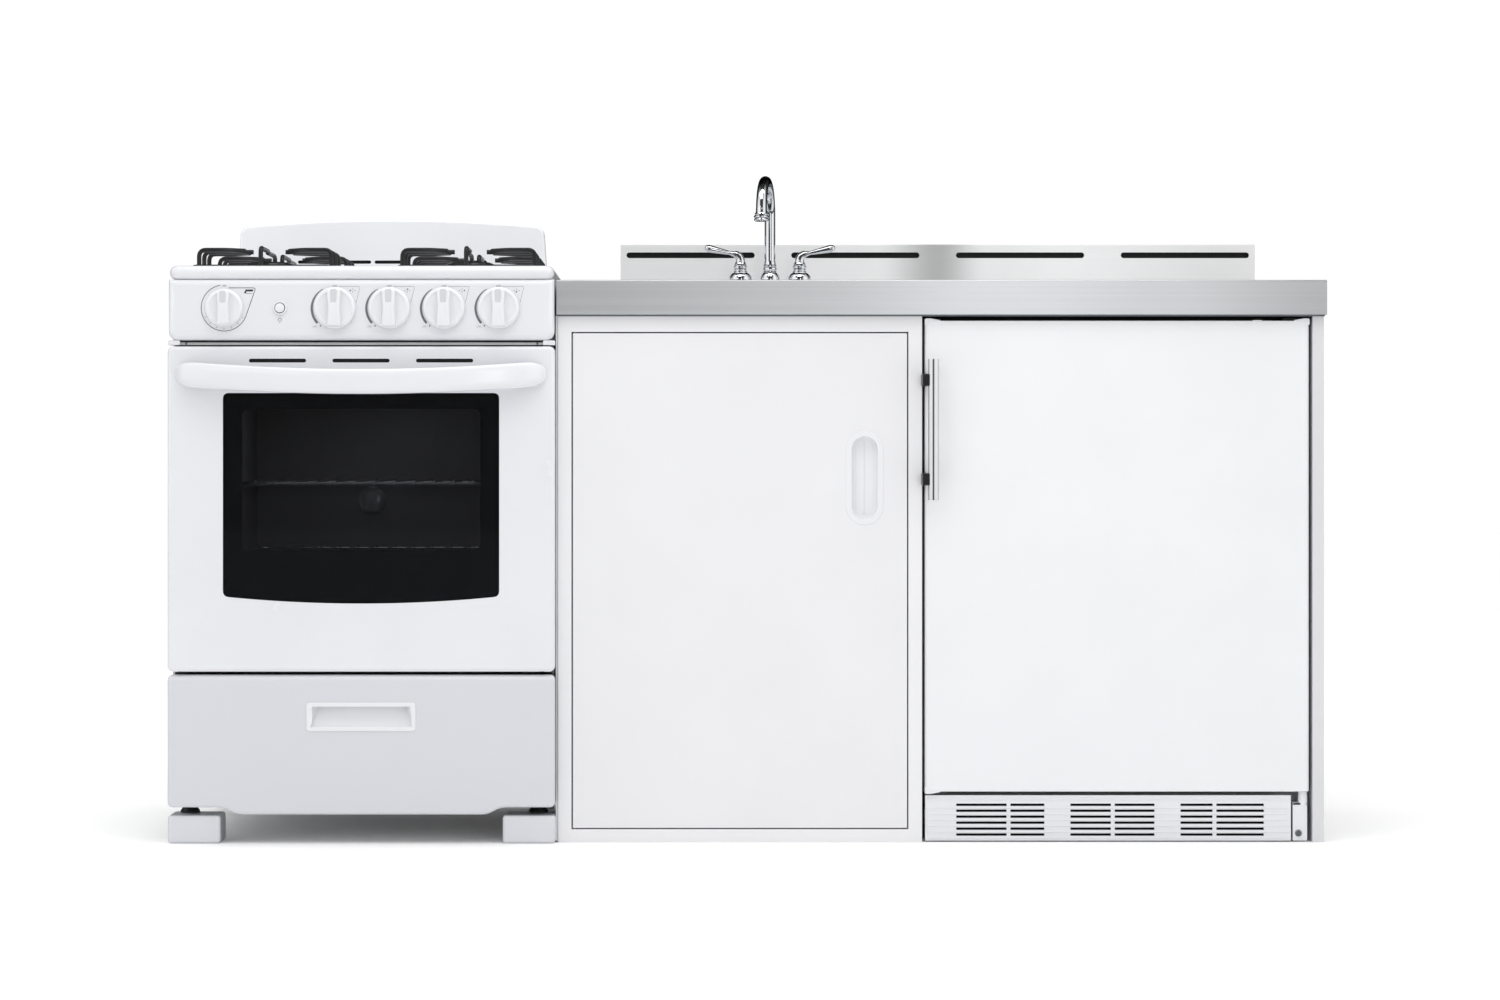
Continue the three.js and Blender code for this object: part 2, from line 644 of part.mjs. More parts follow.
// ---------- oven door ----------
const DOOR_HALF = RANGE_WIDTH / 2 - 0.5;
const WINDOW_INSET = 87.5;
const WINDOW_HALF = DOOR_HALF - WINDOW_INSET;
const WINDOW_TOP = DOOR_HIGH - 73.5;
const WINDOW_LOW = 389.5;
const WINDOW_SAG = 11;
const SKIN = 2.5;
const PANE_FRONT = DOOR_FACE + SKIN;
const PANE = 4;
const EAR_SLOT = 2.5;
const EAR_ROOM = 10;

function earSlots(yBack) {
  return [-1, 1].map((side) => {
    const mid = RANGE_MID + side * EAR_MID;
    return box(mid - EAR_SLOT, mid + EAR_SLOT, OVEN_PIVOT_Y - EAR_ROOM, yBack,
      DOOR_LOW - 5, OVEN_PIVOT_Z + EAR_ROOM);
  });
}

function doorSkin() {
  const x0 = RANGE_MID - DOOR_HALF;
  const x1 = RANGE_MID + DOOR_HALF;
  const edge = 7;
  const block = frontal(rounded(x0, x1, DOOR_LOW, DOOR_HIGH, 8), DOOR_FACE, DOOR_SKIN_BACK + edge,
    { edge, rings: 3, arc: 3 });
  const rear = box(x0 - 1, x1 + 1, DOOR_SKIN_BACK, DOOR_SKIN_BACK + 20, DOOR_LOW - 1, DOOR_HIGH + 1);
  const hollow = frontal(
    rounded(x0 + 6, x1 - 6, DOOR_LOW + 6, DOOR_HIGH - 6, 4), DOOR_FACE + SKIN, DOOR_SKIN_BACK + 1);
  const window = new THREE.Shape();
  window.moveTo(RANGE_MID - WINDOW_HALF, WINDOW_TOP);
  const steps = 10;
  for (let i = 0; i <= steps; i += 1) {
    const u = -1 + (2 * i) / steps;
    window.lineTo(RANGE_MID + u * WINDOW_HALF, WINDOW_LOW - WINDOW_SAG * (1 - u * u));
  }
  window.lineTo(RANGE_MID + WINDOW_HALF, WINDOW_TOP);
  const opening = frontal(window, DOOR_FACE - 5, DOOR_FACE + SKIN + 2);
  const vents = [-131.5, 0, 131.5].map((x) => frontal(
    rounded(RANGE_MID + x - 45, RANGE_MID + x + 45, DOOR_HIGH - 25.5, DOOR_HIGH - 19.5, 2.9),
      DOOR_FACE - 5, DOOR_FACE + SKIN + 2, { arc: 2 }));
  return cut(block, [rear, hollow, opening, ...vents, ...earSlots(DOOR_SKIN_BACK + 5)]);
}
add('oven_door_panel', doorSkin(), WHITE);

const PANE_LAP = 8.5;
const PANE_HALF = WINDOW_HALF + PANE_LAP;
const pane = frontal(
  rounded(RANGE_MID - PANE_HALF, RANGE_MID + PANE_HALF, WINDOW_LOW - WINDOW_SAG - 9, WINDOW_TOP + 9, 6),
    PANE_FRONT, PANE_FRONT + PANE);
add('oven_door_glass', pane, GLASS);

function doorLiner() {
  const x0 = RANGE_MID - DOOR_HALF;
  const x1 = RANGE_MID + DOOR_HALF;
  const block = frontal(rounded(x0 + 3, x1 - 3, DOOR_LOW + 3, DOOR_HIGH - 3, 8), DOOR_SKIN_BACK, DOOR_BACK);
  const see = WINDOW_HALF - 27.5;
  const inner = box(RANGE_MID - see, RANGE_MID + see, DOOR_SKIN_BACK - 5, DOOR_BACK + 5, 460,
    WINDOW_TOP - 20);
  const wide = see + 15;
  const scoop = box(RANGE_MID - wide, RANGE_MID + wide, DOOR_SKIN_BACK + 3, DOOR_BACK + 5, 445,
    WINDOW_TOP - 5);
  const pieces = [cut(block, [inner, scoop])];
  for (const side of [-1, 1]) {
    for (const offset of [-6, 6]) {
      const mid = RANGE_MID + side * EAR_MID + offset;
      pieces.push(box(mid - 2, mid + 2, OVEN_PIVOT_Y - 6, DOOR_SKIN_BACK + 1,
        OVEN_PIVOT_Z - 5.5, OVEN_PIVOT_Z + 7));
    }
  }
  const bores = [-1, 1].map((side) => pegX(
    OVEN_PIVOT_Y, OVEN_PIVOT_Z, RANGE_MID + side * EAR_MID - 12, RANGE_MID + side * EAR_MID + 12,
      EAR_PIN + GAP));
  return cut(join(pieces), [...bores, ...earSlots(DOOR_BACK + 5)]);
}
add('oven_door_liner', doorLiner(), ENAMEL);

// a bowed handle whose ends run back into the door face
const HANDLE_INSET = 12.5;
const HANDLE_HALF = DOOR_HALF - HANDLE_INSET;
const HANDLE_END_Z = DOOR_HIGH - 43;
const HANDLE_DROP = 13;
const HANDLE_TALL = 39;
function doorHandle() {
  const front = [];
  const rear = [];
  const steps = 14;
  const reach = HANDLE_REACH - 15;
  for (let i = 0; i <= steps; i += 1) {
    const u = -1 + (2 * i) / steps;
    const bow = 1 - u * u;
    const lead = Math.sqrt(Math.max(0, 1 - u ** 8));
    front.push([RANGE_MID + u * HANDLE_HALF, DOOR_FACE - lead * (26 + (reach - 26) * bow)]);
  }
  const insideHalf = HANDLE_HALF - 26;
  for (let i = 0; i <= steps; i += 1) {
    const u = 1 - (2 * i) / steps;
    const bow = 1 - u * u;
    const lead = Math.sqrt(Math.max(0, 1 - u ** 8));
    rear.push([RANGE_MID + u * insideHalf, DOOR_FACE - lead * (9 + (reach - 28) * bow)]);
  }
  const shape = polygon([...front, ...rear]);
  const half = HANDLE_TALL / 2;
  const geometry = raise(shape, HANDLE_TALL, { edge: 0 });
  geometry.translate(0, 0, -half);
  const spots = geometry.attributes.position;
  for (let i = 0; i < spots.count; i += 1) {
    const u = (spots.getX(i) - RANGE_MID) / HANDLE_HALF;
    spots.setZ(i, spots.getZ(i) + HANDLE_END_Z - HANDLE_DROP * (1 - u * u));
  }
  return solid(geometry);
}
add('oven_door_handle', doorHandle(), WHITE);

// ---------- drawer ----------
const DRAWER_TOP = 266;
const DRAWER_LOW = 57.4;
const DRAWER_MID_LOW = 46;
const DRAWER_FACE = FRONT - 15;
const DRAWER_BACK = FRONT + 8;
const PULL_HALF = 86;
const PULL_LOW = 178;
const PULL_TOP = 223;
const CUP_HALF = 80;
const CUP_LOW = 182.5;
const CUP_TOP = 217;
const CUP_WALL = 2;

function drawerFront() {
  const half = DOOR_HALF;
  const edge = 5;
  const shape = new THREE.Shape();
  const left = RANGE_MID - half;
  const right = RANGE_MID + half;
  shape.moveTo(left, DRAWER_LOW);
  shape.lineTo(RANGE_MID - 218, DRAWER_LOW);
  shape.lineTo(RANGE_MID - 196, DRAWER_MID_LOW);
  shape.lineTo(RANGE_MID + 198, DRAWER_MID_LOW);
  shape.lineTo(RANGE_MID + 218, DRAWER_LOW);
  shape.lineTo(right, DRAWER_LOW);
  shape.lineTo(right, DRAWER_TOP - 8);
  shape.absarc(right - 8, DRAWER_TOP - 8, 8, 0, Math.PI / 2);
  shape.lineTo(left + 8, DRAWER_TOP);
  shape.absarc(left + 8, DRAWER_TOP - 8, 8, Math.PI / 2, Math.PI);
  const block = frontal(shape, DRAWER_FACE, DRAWER_BACK + edge, { edge, rings: 3, arc: 3 });
  const rear = box(left - 1, right + 1, DRAWER_BACK, DRAWER_BACK + 20, 0, DRAWER_TOP + 5);
  const hole = box(RANGE_MID - CUP_HALF - CUP_WALL - GAP, RANGE_MID + CUP_HALF + CUP_WALL + GAP,
    DRAWER_FACE - 5, DRAWER_BACK + 5, CUP_LOW - CUP_WALL - GAP, CUP_TOP + CUP_WALL + GAP);
  return cut(block, [rear, hole]);
}
add('drawer_front', drawerFront(), WHITE);

function drawerPull() {
  const flange = frontal(
    rounded(RANGE_MID - PULL_HALF, RANGE_MID + PULL_HALF, PULL_LOW, PULL_TOP, 4), DRAWER_FACE - 1.5,
      DRAWER_FACE, { arc: 3 });
  const cup = box(RANGE_MID - CUP_HALF - CUP_WALL, RANGE_MID + CUP_HALF + CUP_WALL, DRAWER_FACE - 1,
    DRAWER_BACK,
    CUP_LOW - CUP_WALL, CUP_TOP + CUP_WALL);
  const deep = DRAWER_BACK - CUP_WALL;
  const scoop = sideways(polygon([
    [DRAWER_FACE - 3, CUP_LOW], [DRAWER_FACE - 1, CUP_LOW], [deep, CUP_TOP - 8], [deep, CUP_TOP],
      [DRAWER_FACE - 3, CUP_TOP],
  ]), RANGE_MID - CUP_HALF, RANGE_MID + CUP_HALF);
  return cut(join([flange, cup]), [scoop]);
}
add('drawer_pull', drawerPull(), SOFT_WHITE);

const TRAY_INSET = 17.5;
const TRAY_HALF = BODY_HALF - TRAY_INSET;
const TRAY_LOW = 68;
const TRAY_TOP = 205;
const TRAY_BACK = FRONT + 560;
function drawerTray() {
  const outer = box(RANGE_MID - TRAY_HALF, RANGE_MID + TRAY_HALF, DRAWER_BACK, TRAY_BACK, TRAY_LOW,
    TRAY_TOP);
  const inner = box(RANGE_MID - TRAY_HALF + SHEET, RANGE_MID + TRAY_HALF - SHEET, DRAWER_BACK + SHEET,
    TRAY_BACK - SHEET, TRAY_LOW + SHEET, TRAY_TOP + 5);
  const pieces = [cut(outer, [inner])];
  for (const side of [-1, 1]) {
    const wall = RANGE_MID + side * (TRAY_HALF - 1);
    const out = RANGE_MID + side * (TRAY_HALF + 10);
    pieces.push(box(Math.min(wall, out), Math.max(wall, out), BODY_FRONT + 12, TRAY_BACK, TRAY_TOP - 14,
      TRAY_TOP - 8));
    const foot = RANGE_MID + side * (TRAY_HALF - 45);
    pieces.push(box(foot - 6, foot + 6, BODY_FRONT + 12, TRAY_BACK, BODY_BOTTOM + PLATE + GAP,
      TRAY_LOW + 1));
  }
  return join(pieces);
}
add('drawer_tray', drawerTray(), ZINC);

// ---------- feet ----------
const FOOT_INSET = 38.5;
const FOOT_X = BODY_HALF - FOOT_INSET;
const FOOT_HALF = 41.5;
const FOOT_TOP = 44;
for (const [place, side] of [['left', -1], ['right', 1]]) {
  const mid = RANGE_MID + side * FOOT_X;
  const block = sideways(polygon([
    [FRONT - 8, 0], [FRONT + 62, 0], [FRONT + 67, 6], [FRONT + 67, FOOT_TOP - 4], [FRONT + 63, FOOT_TOP],
    [FRONT - 3, FOOT_TOP], [FRONT - 7, FOOT_TOP - 4],
  ]), mid - FOOT_HALF, mid + FOOT_HALF, { edge: 4, rings: 2 });
  const screw = post(mid + side * 13, FRONT + 48, FOOT_TOP - 2, BODY_BOTTOM, 12.5, ROUND);
  add(`range_foot_${place}`, join([block, screw]), SOFT_WHITE);
}
function rearSkid() {
  const y0 = BACK - 90;
  const y1 = BACK - 30;
  const pieces = [box(RANGE_MID - RAIL_HALF, RANGE_MID + RAIL_HALF, y0 + 20, y1 - 20, FOOT_TOP,
    BODY_BOTTOM)];
  for (const side of [-1, 1]) {
    const mid = RANGE_MID + side * FOOT_X;
    pieces.push(box(mid - 20, mid + 20, y0, y1, 0, FOOT_TOP + 2));
  }
  return join(pieces);
}
add('range_rear_skid', rearSkid(), GREY);

// =====================================================================
// SINK WORKTOP AND CABINET
// =====================================================================
const APRON_TALL = 55;
const APRON_LOW = COUNTER_TOP - APRON_TALL;
const CAB_INSET = 2;
const CAB_LEFT = TOP_LEFT + CAB_INSET;
const CAB_WIDTH = 576;
const CAB_RIGHT = CAB_LEFT + CAB_WIDTH;
const LIP = 2;
const LIP_REACH = 22;
const SINK_X = CAB_LEFT + 348;
const BOWL_HALF = 190;
const BOWL_NEAR = FRONT + 120;
const BOWL_FAR = FRONT + 460;
const BOWL_FLOOR = COUNTER_TOP - 150;
const BOWL_ROUND = 45;
const BOWL_WALL = 1.5;
const FAUCET_Y = FRONT + 520;
const VALVE_X = 50.8;
const TAIL = 22;

function worktop() {
  const shell = box(TOP_LEFT, RIGHT, FRONT, BACK, APRON_LOW, COUNTER_TOP);
  const inside = box(TOP_LEFT + SHEET, RIGHT - SHEET, FRONT + SHEET, BACK + 5, APRON_LOW + LIP,
    COUNTER_TOP - SHEET);
  const under = box(TOP_LEFT + LIP_REACH, RIGHT - LIP_REACH, FRONT + LIP_REACH, BACK + 5, APRON_LOW - 5,
    APRON_LOW + LIP + 1);
  const clear = BOWL_WALL + GAP;
  const hole = upright(rounded(
    SINK_X - BOWL_HALF - clear, SINK_X + BOWL_HALF + clear, BOWL_NEAR - clear, BOWL_FAR + clear,
      BOWL_ROUND + clear,
  ), COUNTER_TOP - 10, COUNTER_TOP + 5, { arc: 4 });
  return cut(shell, [inside, under, hole]);
}
add('worktop', worktop(), STEEL);

const SPLASH_LEFT = TOP_LEFT + 91;
const SPLASH_RIGHT = RIGHT - 15.5;
const SPLASH_TOP = COUNTER_TOP + 91;
const SLOT_END = 10.5;
const SLOT_SPACE = 64;
const SLOTS = 4;
const SPLASH_FRONT = BACK - 15;
function backsplash() {
  const shell = frontal(rounded(SPLASH_LEFT, SPLASH_RIGHT, COUNTER_TOP - 20, SPLASH_TOP, 4),
    SPLASH_FRONT, BACK, { arc: 3 });
  const low = box(SPLASH_LEFT - 1, SPLASH_RIGHT + 1, SPLASH_FRONT - 1, BACK + 1, COUNTER_TOP - 30,
    COUNTER_TOP);
  const hollow = box(SPLASH_LEFT + 3, SPLASH_RIGHT - 3, SPLASH_FRONT + SHEET, BACK + 1, COUNTER_TOP + 3,
    SPLASH_TOP - 3);
  const room = SPLASH_RIGHT - SPLASH_LEFT - 2 * SLOT_END;
  const pitch = (room + SLOT_SPACE) / SLOTS;
  const slots = [];
  for (let i = 0; i < SLOTS; i += 1) {
    const start = SPLASH_LEFT + SLOT_END + i * pitch;
    const slot = rounded(start, start + pitch - SLOT_SPACE, SPLASH_TOP - 24, SPLASH_TOP - 14, 4.9);
    slots.push(frontal(slot, SPLASH_FRONT - 5, SPLASH_FRONT + 8, { arc: 3 }));
  }
  return cut(shell, [low, hollow, ...slots]);
}
add('backsplash', backsplash(), STEEL);

const DRAIN_Y = (BOWL_NEAR + BOWL_FAR) / 2;
const CUP_R = 42;
const CUP_FLOOR = BOWL_FLOOR - 16;
function sinkBowl() {
  const wall = BOWL_WALL;
  const outer = upright(rounded(
    SINK_X - BOWL_HALF - wall, SINK_X + BOWL_HALF + wall, BOWL_NEAR - wall, BOWL_FAR + wall,
      BOWL_ROUND + wall,
  ), BOWL_FLOOR - wall, COUNTER_TOP + 1, { arc: 4 });
  const rim = upright(rounded(
    SINK_X - BOWL_HALF - 14, SINK_X + BOWL_HALF + 14, BOWL_NEAR - 14, BOWL_FAR + 14, BOWL_ROUND + 14,
  ), COUNTER_TOP, COUNTER_TOP + 2, { arc: 4 });
  const inner = upright(rounded(
    SINK_X - BOWL_HALF, SINK_X + BOWL_HALF, BOWL_NEAR, BOWL_FAR, BOWL_ROUND,
  ), BOWL_FLOOR, COUNTER_TOP + 10, { arc: 4 });
  const cup = post(SINK_X, DRAIN_Y, CUP_FLOOR - 3, BOWL_FLOOR, CUP_R + 3, ROUND);
  const cupInside = post(SINK_X, DRAIN_Y, CUP_FLOOR, BOWL_FLOOR + 5, CUP_R, ROUND);
  const throat = post(SINK_X, DRAIN_Y, CUP_FLOOR - 10, CUP_FLOOR + 5, TAIL - 4, ROUND);
  return cut(join([outer, rim, cup]), [inner, cupInside, throat]);
}
add('sink_bowl', sinkBowl(), STEEL);

function strainer() {
  const z = CUP_FLOOR + GAP;
  const profile = [
    [0, z], [28, z], [34, z + 13], [40, z + 15], [40, z + 16.5], [33, z + 16.5],
    [26.5, z + 2], [5, z + 2], [4, z + 14], [7, z + 18], [5, z + 22], [0, z + 23],
  ];
  return turned(profile, SINK_X, DRAIN_Y, 0);
}
add('strainer_basket', strainer(), STEEL);

const PIPE_Z = 600;
function drainTrap() {
  const top = CUP_FLOOR - 3;
  const turnZ = top - 180;
  const outZ = PIPE_Z;
  const far = DRAIN_Y + 110;
  const path = bent([
    [SINK_X, DRAIN_Y, top], [SINK_X, DRAIN_Y, turnZ], [SINK_X, far, turnZ], [SINK_X, far, outZ],
      [SINK_X, BACK - 4, outZ],
  ], 42, 3);
  return rod(path, TAIL, 10, TAIL - 4);
}
add('drain_trap', drainTrap(), CHROME);

// ---------- faucet ----------
const HUB_TOP = COUNTER_TOP + 40;
const SPOUT_R = 9.5;
function faucetBase() {
  const z = COUNTER_TOP;
  const plate = upright(
    rounded(SINK_X - 80, SINK_X + 80, FAUCET_Y - 27, FAUCET_Y + 27, 24), z, z + 14,
      { edge: 4, rings: 1, arc: 4 });
  const bulb = [[0, z + 8], [24, z + 8], [25, z + 18], [22, z + 28], [14, z + 37], [13, z + 40],
    [0, z + 40]];
  const middle = [[0, z + 8], [24, z + 8], [24, z + 20], [19, z + 32], [12, z + 38], [12, z + 40],
    [0, z + 40]];
  const pieces = [plate, turned(middle, SINK_X, FAUCET_Y, 0)];
  for (const side of [-1, 1]) pieces.push(turned(bulb, SINK_X + side * VALVE_X, FAUCET_Y, 0));
  const sockets = [-1, 0, 1].map((side) => post(
    SINK_X + side * VALVE_X, FAUCET_Y, HUB_TOP - 16, HUB_TOP + 5, 6 + GAP, 12));
  return cut(join(pieces), sockets);
}
add('faucet_base', faucetBase(), CHROME);

const SPOUT_TOP = COUNTER_TOP + 199;
const SPOUT_BEND = 55;
const SPOUT_REST = (9 * Math.PI) / 180;
function spout() {
  const centre = SPOUT_TOP - SPOUT_R - SPOUT_BEND;
  const heading = [-Math.sin(SPOUT_REST), -Math.cos(SPOUT_REST)];
  const at = (out, z) => new THREE.Vector3(SINK_X + heading[0] * out, FAUCET_Y + heading[1] * out, z);
  const points = [at(0, HUB_TOP + GAP + 3), at(0, centre)];
  const slices = 11;
  for (let i = 1; i <= slices; i += 1) {
    const angle = (Math.PI * i) / slices;
    points.push(at(SPOUT_BEND * (1 - Math.cos(angle)), centre + SPOUT_BEND * Math.sin(angle)));
  }
  points.push(at(2 * SPOUT_BEND, centre - 6));
  const tube = rod(points, SPOUT_R, 12, 7);
  const z = HUB_TOP + GAP;
  const collar = turned([[0, z], [12, z], [13, z + 4], [12, z + 9], [10.5, z + 12], [10.5, z + 16],
    [0, z + 16]],
    SINK_X, FAUCET_Y, 0);
  const tip = at(2 * SPOUT_BEND, 0);
  const low = centre - 17;
  const bell = turned([[0, low], [13, low], [13.4, low + 7], [11, low + 13], [10, low + 19],
    [0, low + 19]], tip.x, tip.y, 0, 16);
  const mouth = post(tip.x, tip.y, low - 5, low + 25, 7, 12);
  const pin = post(SINK_X, FAUCET_Y, HUB_TOP - 14, z + 2, 6, 12);
  return join([cut(join([tube, bell]), [mouth]), collar, pin]);
}
add('faucet_spout', spout(), CHROME);

function lever(side) {
  const x = SINK_X + side * VALVE_X;
  const z = HUB_TOP + GAP;
  const hub = turned([[0, z], [13, z], [14, z + 5], [12, z + 12], [9, z + 20], [6, z + 26], [0, z + 28]],
    x, FAUCET_Y, 0);
  const pin = post(x, FAUCET_Y, HUB_TOP - 14, z + 2, 6, 12);
  const arm = rod(bent([
    [x, FAUCET_Y, z + 12], [x + side * 12, FAUCET_Y, z + 30], [x + side * 60, FAUCET_Y, z + 37],
  ], 10, 2), 4.6, 8);
  const knobEnd = new THREE.SphereGeometry(5.6, 10, 6);
  knobEnd.translate(x + side * 59, FAUCET_Y, z + 36.9);
  return join([hub, pin, arm, solid(knobEnd)]);
}
add('faucet_lever_left', lever(-1), CHROME);
add('faucet_lever_right', lever(1), CHROME);

// ---------- base cabinet ----------
const FRAME_FRONT = FRONT + 12;
const FRAME_BACK = FRAME_FRONT + 18;
const CAB_BACK = BACK - 17;
const BOARD = 15;
const OPEN_LEFT = CAB_LEFT + 21.5;
const OPEN_RIGHT = CAB_RIGHT - 21.7;
const OPEN_LOW = 20.5;
const OPEN_HIGH = APRON_LOW - 27;
const CAB_DOOR = [OPEN_LEFT + DOOR_GAP, OPEN_RIGHT - DOOR_GAP, OPEN_LOW + DOOR_GAP, OPEN_HIGH - DOOR_GAP];
const CAB_PIVOT_X = CAB_DOOR[0] + 4;
const CAB_PIVOT_Y = FRAME_FRONT + 4;
const PIN = 1.9;

function cabinetBox() {
  const outer = box(CAB_LEFT, CAB_RIGHT, FRAME_BACK, CAB_BACK, 0, APRON_LOW);
  const inner = box(CAB_LEFT + BOARD, CAB_RIGHT - BOARD, FRAME_BACK - 5, CAB_BACK - 6, 35, APRON_LOW + 5);
  const kick = box(CAB_LEFT + BOARD, CAB_RIGHT - BOARD, FRAME_BACK + BOARD, CAB_BACK + 5, -5, OPEN_LOW);
  // the floor's front edge stands back, to clear the door's corner as it swings
  const clear = box(CAB_LEFT + BOARD, CAB_RIGHT - BOARD, FRAME_BACK - 5, FRAME_BACK + 2, OPEN_LOW, 40);
  const pipe = pegY(SINK_X, PIPE_Z, CAB_BACK - 20, CAB_BACK + 5, TAIL + 5, ROUND);
  const bearer = box(CAB_RIGHT - BOARD, CAB_RIGHT, FRAME_BACK, CAB_BACK, APRON_LOW - 1,
    COUNTER_TOP - SHEET);
  // spacers on the left side, where the cabinet is screwed to the range
  const rangeSide = RANGE_MID + BODY_HALF;
  const spacers = [[300, 340], [740, 780]].map(
    ([low, high]) => box(rangeSide, CAB_LEFT + 1, BACK - 160, BACK - 120, low, high));
  // the rear rail behind the refrigerator, which the worktop's back edge rests on
  const rail = box(CAB_RIGHT - 1, RIGHT - LIP_REACH - GAP, CAB_BACK - 16, CAB_BACK, COUNTER_TOP - 130,
    COUNTER_TOP - SHEET);
  return join([cut(outer, [inner, kick, clear, pipe]), bearer, rail, ...spacers]);
}
add('cabinet_box', cabinetBox(), SOFT_WHITE);

function pinHoles(zone) {
  return zone.map(([low, high]) => post(CAB_PIVOT_X, CAB_PIVOT_Y, low, high, PIN + GAP));
}
const UPPER_PIN = [CAB_DOOR[3] - 9, OPEN_HIGH + 9];
const LOWER_PIN = [OPEN_LOW - 9, CAB_DOOR[2] + 9];

function faceFrame() {
  const outer = box(CAB_LEFT, CAB_RIGHT, FRAME_FRONT, FRAME_BACK, 0, APRON_LOW);
  const opening = box(OPEN_LEFT, OPEN_RIGHT, FRAME_FRONT - 5, FRAME_BACK + 5, OPEN_LOW, OPEN_HIGH);
  const rails = [[OPEN_HIGH - 5, UPPER_PIN[1]], [LOWER_PIN[0], OPEN_LOW + 5]].map(
    ([low, high]) => post(CAB_PIVOT_X, CAB_PIVOT_Y, low, high, PIN + GAP));
  return cut(outer, [opening, ...rails]);
}
add('face_frame', faceFrame(), SOFT_WHITE);
add('hinge_pin_upper', post(CAB_PIVOT_X, CAB_PIVOT_Y, UPPER_PIN[0] + GAP, UPPER_PIN[1], PIN), ZINC);
add('hinge_pin_lower', post(CAB_PIVOT_X, CAB_PIVOT_Y, LOWER_PIN[0], LOWER_PIN[1] - GAP, PIN), ZINC);

const GRIP_INSET = 48.8;
const GRIP_WIDE = 41;
const GRIP = {
  x0: OPEN_RIGHT - GRIP_INSET - GRIP_WIDE, x1: OPEN_RIGHT - GRIP_INSET, z0: OPEN_HIGH - 296,
    z1: OPEN_HIGH - 165,
};
const GRIP_DEEP = 12;
const GRIP_WALL = 1.5;
const GRIP_FLANGE = 9;
function stadium(grow) {
  const x0 = GRIP.x0 - grow;
  const x1 = GRIP.x1 + grow;
  return rounded(x0, x1, GRIP.z0 - grow, GRIP.z1 + grow, (x1 - x0) / 2 - 0.1);
}
const doorBody = frontal(rounded(...CAB_DOOR, 2), FRAME_FRONT, FRAME_BACK, { edge: 1.5, rings: 2, arc: 2 });
const gripHole = frontal(stadium(GRIP_WALL + GAP), FRAME_FRONT - 5,
  FRAME_FRONT + GRIP_DEEP + GRIP_WALL + GAP, { arc: 4 });
add('cabinet_door', cut(doorBody, [gripHole, ...pinHoles([
  [CAB_DOOR[3] - 9.5, CAB_DOOR[3] + 5], [CAB_DOOR[2] - 5, CAB_DOOR[2] + 9.5],
])]), WHITE);

const gripCup = cut(
  join([
    frontal(stadium(GRIP_FLANGE), FRAME_FRONT - 1.2, FRAME_FRONT, { arc: 4 }),
    frontal(stadium(GRIP_WALL), FRAME_FRONT - 1, FRAME_FRONT + GRIP_DEEP + GRIP_WALL, { arc: 4 }),
  ]),
  [frontal(stadium(0), FRAME_FRONT - 5, FRAME_FRONT + GRIP_DEEP, { arc: 4 })],
);
add('cabinet_door_pull', gripCup, SOFT_WHITE);

const END_THICK = 18;
const END_INSET = 3;
const END_LEFT = RIGHT - END_INSET - END_THICK;
add('end_panel', box(END_LEFT, END_LEFT + END_THICK, FRAME_FRONT, CAB_BACK, 0, APRON_LOW), SOFT_WHITE);

// =====================================================================
// REFRIGERATOR
// =====================================================================
const FRIDGE_TOP = APRON_LOW - 8;
const SIDE_ROOM = 4.5;
const END_ROOM = 5;
const DOOR_THICK = 48;
const FRIDGE_DOOR = {
  x0: CAB_RIGHT + SIDE_ROOM,
  x1: END_LEFT - END_ROOM,
  y0: FRAME_FRONT,
  y1: FRAME_FRONT + DOOR_THICK,
  z0: 80,
  z1: FRIDGE_TOP - 1,
};
const FRIDGE = {
  x0: FRIDGE_DOOR.x0 + 2.5,
  x1: FRIDGE_DOOR.x1 - 3.5,
  y0: FRIDGE_DOOR.y1 + 4,
  y1: BACK - 35,
  z0: 50,
  z1: FRIDGE_TOP,
};
const FRIDGE_MID = (FRIDGE.x0 + FRIDGE.x1) / 2;
const INSULATION = 35;
const BAY_TOP = 215;
const BAY_FRONT = FRONT + 410;
const SHELF_Z = 500;

function fridgeCabinet() {
  const f = FRIDGE;
  const x0 = f.x0 + INSULATION;
  const x1 = f.x1 - INSULATION;
  const outer = box(f.x0, f.x1, f.y0, f.y1, f.z0, f.z1);
  const upper = box(x0, x1, f.y0 - 5, f.y1 - INSULATION, BAY_TOP + INSULATION, f.z1 - INSULATION);
  const lower = box(x0, x1, f.y0 - 5, BAY_FRONT - INSULATION, 95, BAY_TOP + INSULATION + 1);
  const bay = box(f.x0 + 20, f.x1 - 20, BAY_FRONT, f.y1 + 5, f.z0 + 4, BAY_TOP);
  const dialHole = post(DIAL.x, DIAL.y, f.z1 - INSULATION - 5, f.z1 - INSULATION + 12, DIAL_STEM + GAP,
    SMALL_ROUND);
  const pieces = [cut(outer, [upper, lower, bay, dialHole])];
  for (const [a, b] of [[x0 - 1, x0 + 8], [x1 - 8, x1 + 1]]) {
    pieces.push(box(a, b, f.y0 + 20, f.y1 - INSULATION - 20, SHELF_Z - 5, SHELF_Z));
  }
  for (const x of [f.x0 + 45, f.x1 - 45]) {
    for (const y of [f.y0 + 45, f.y1 - 45]) pieces.push(post(x, y, 0, f.z0 + 1, 18, 16));
  }
  return join(pieces);
}
const DIAL = { x: FRIDGE_MID, y: FRONT + 150 };
const DIAL_STEM = 4;
add('fridge_cabinet', fridgeCabinet(), SOFT_WHITE);

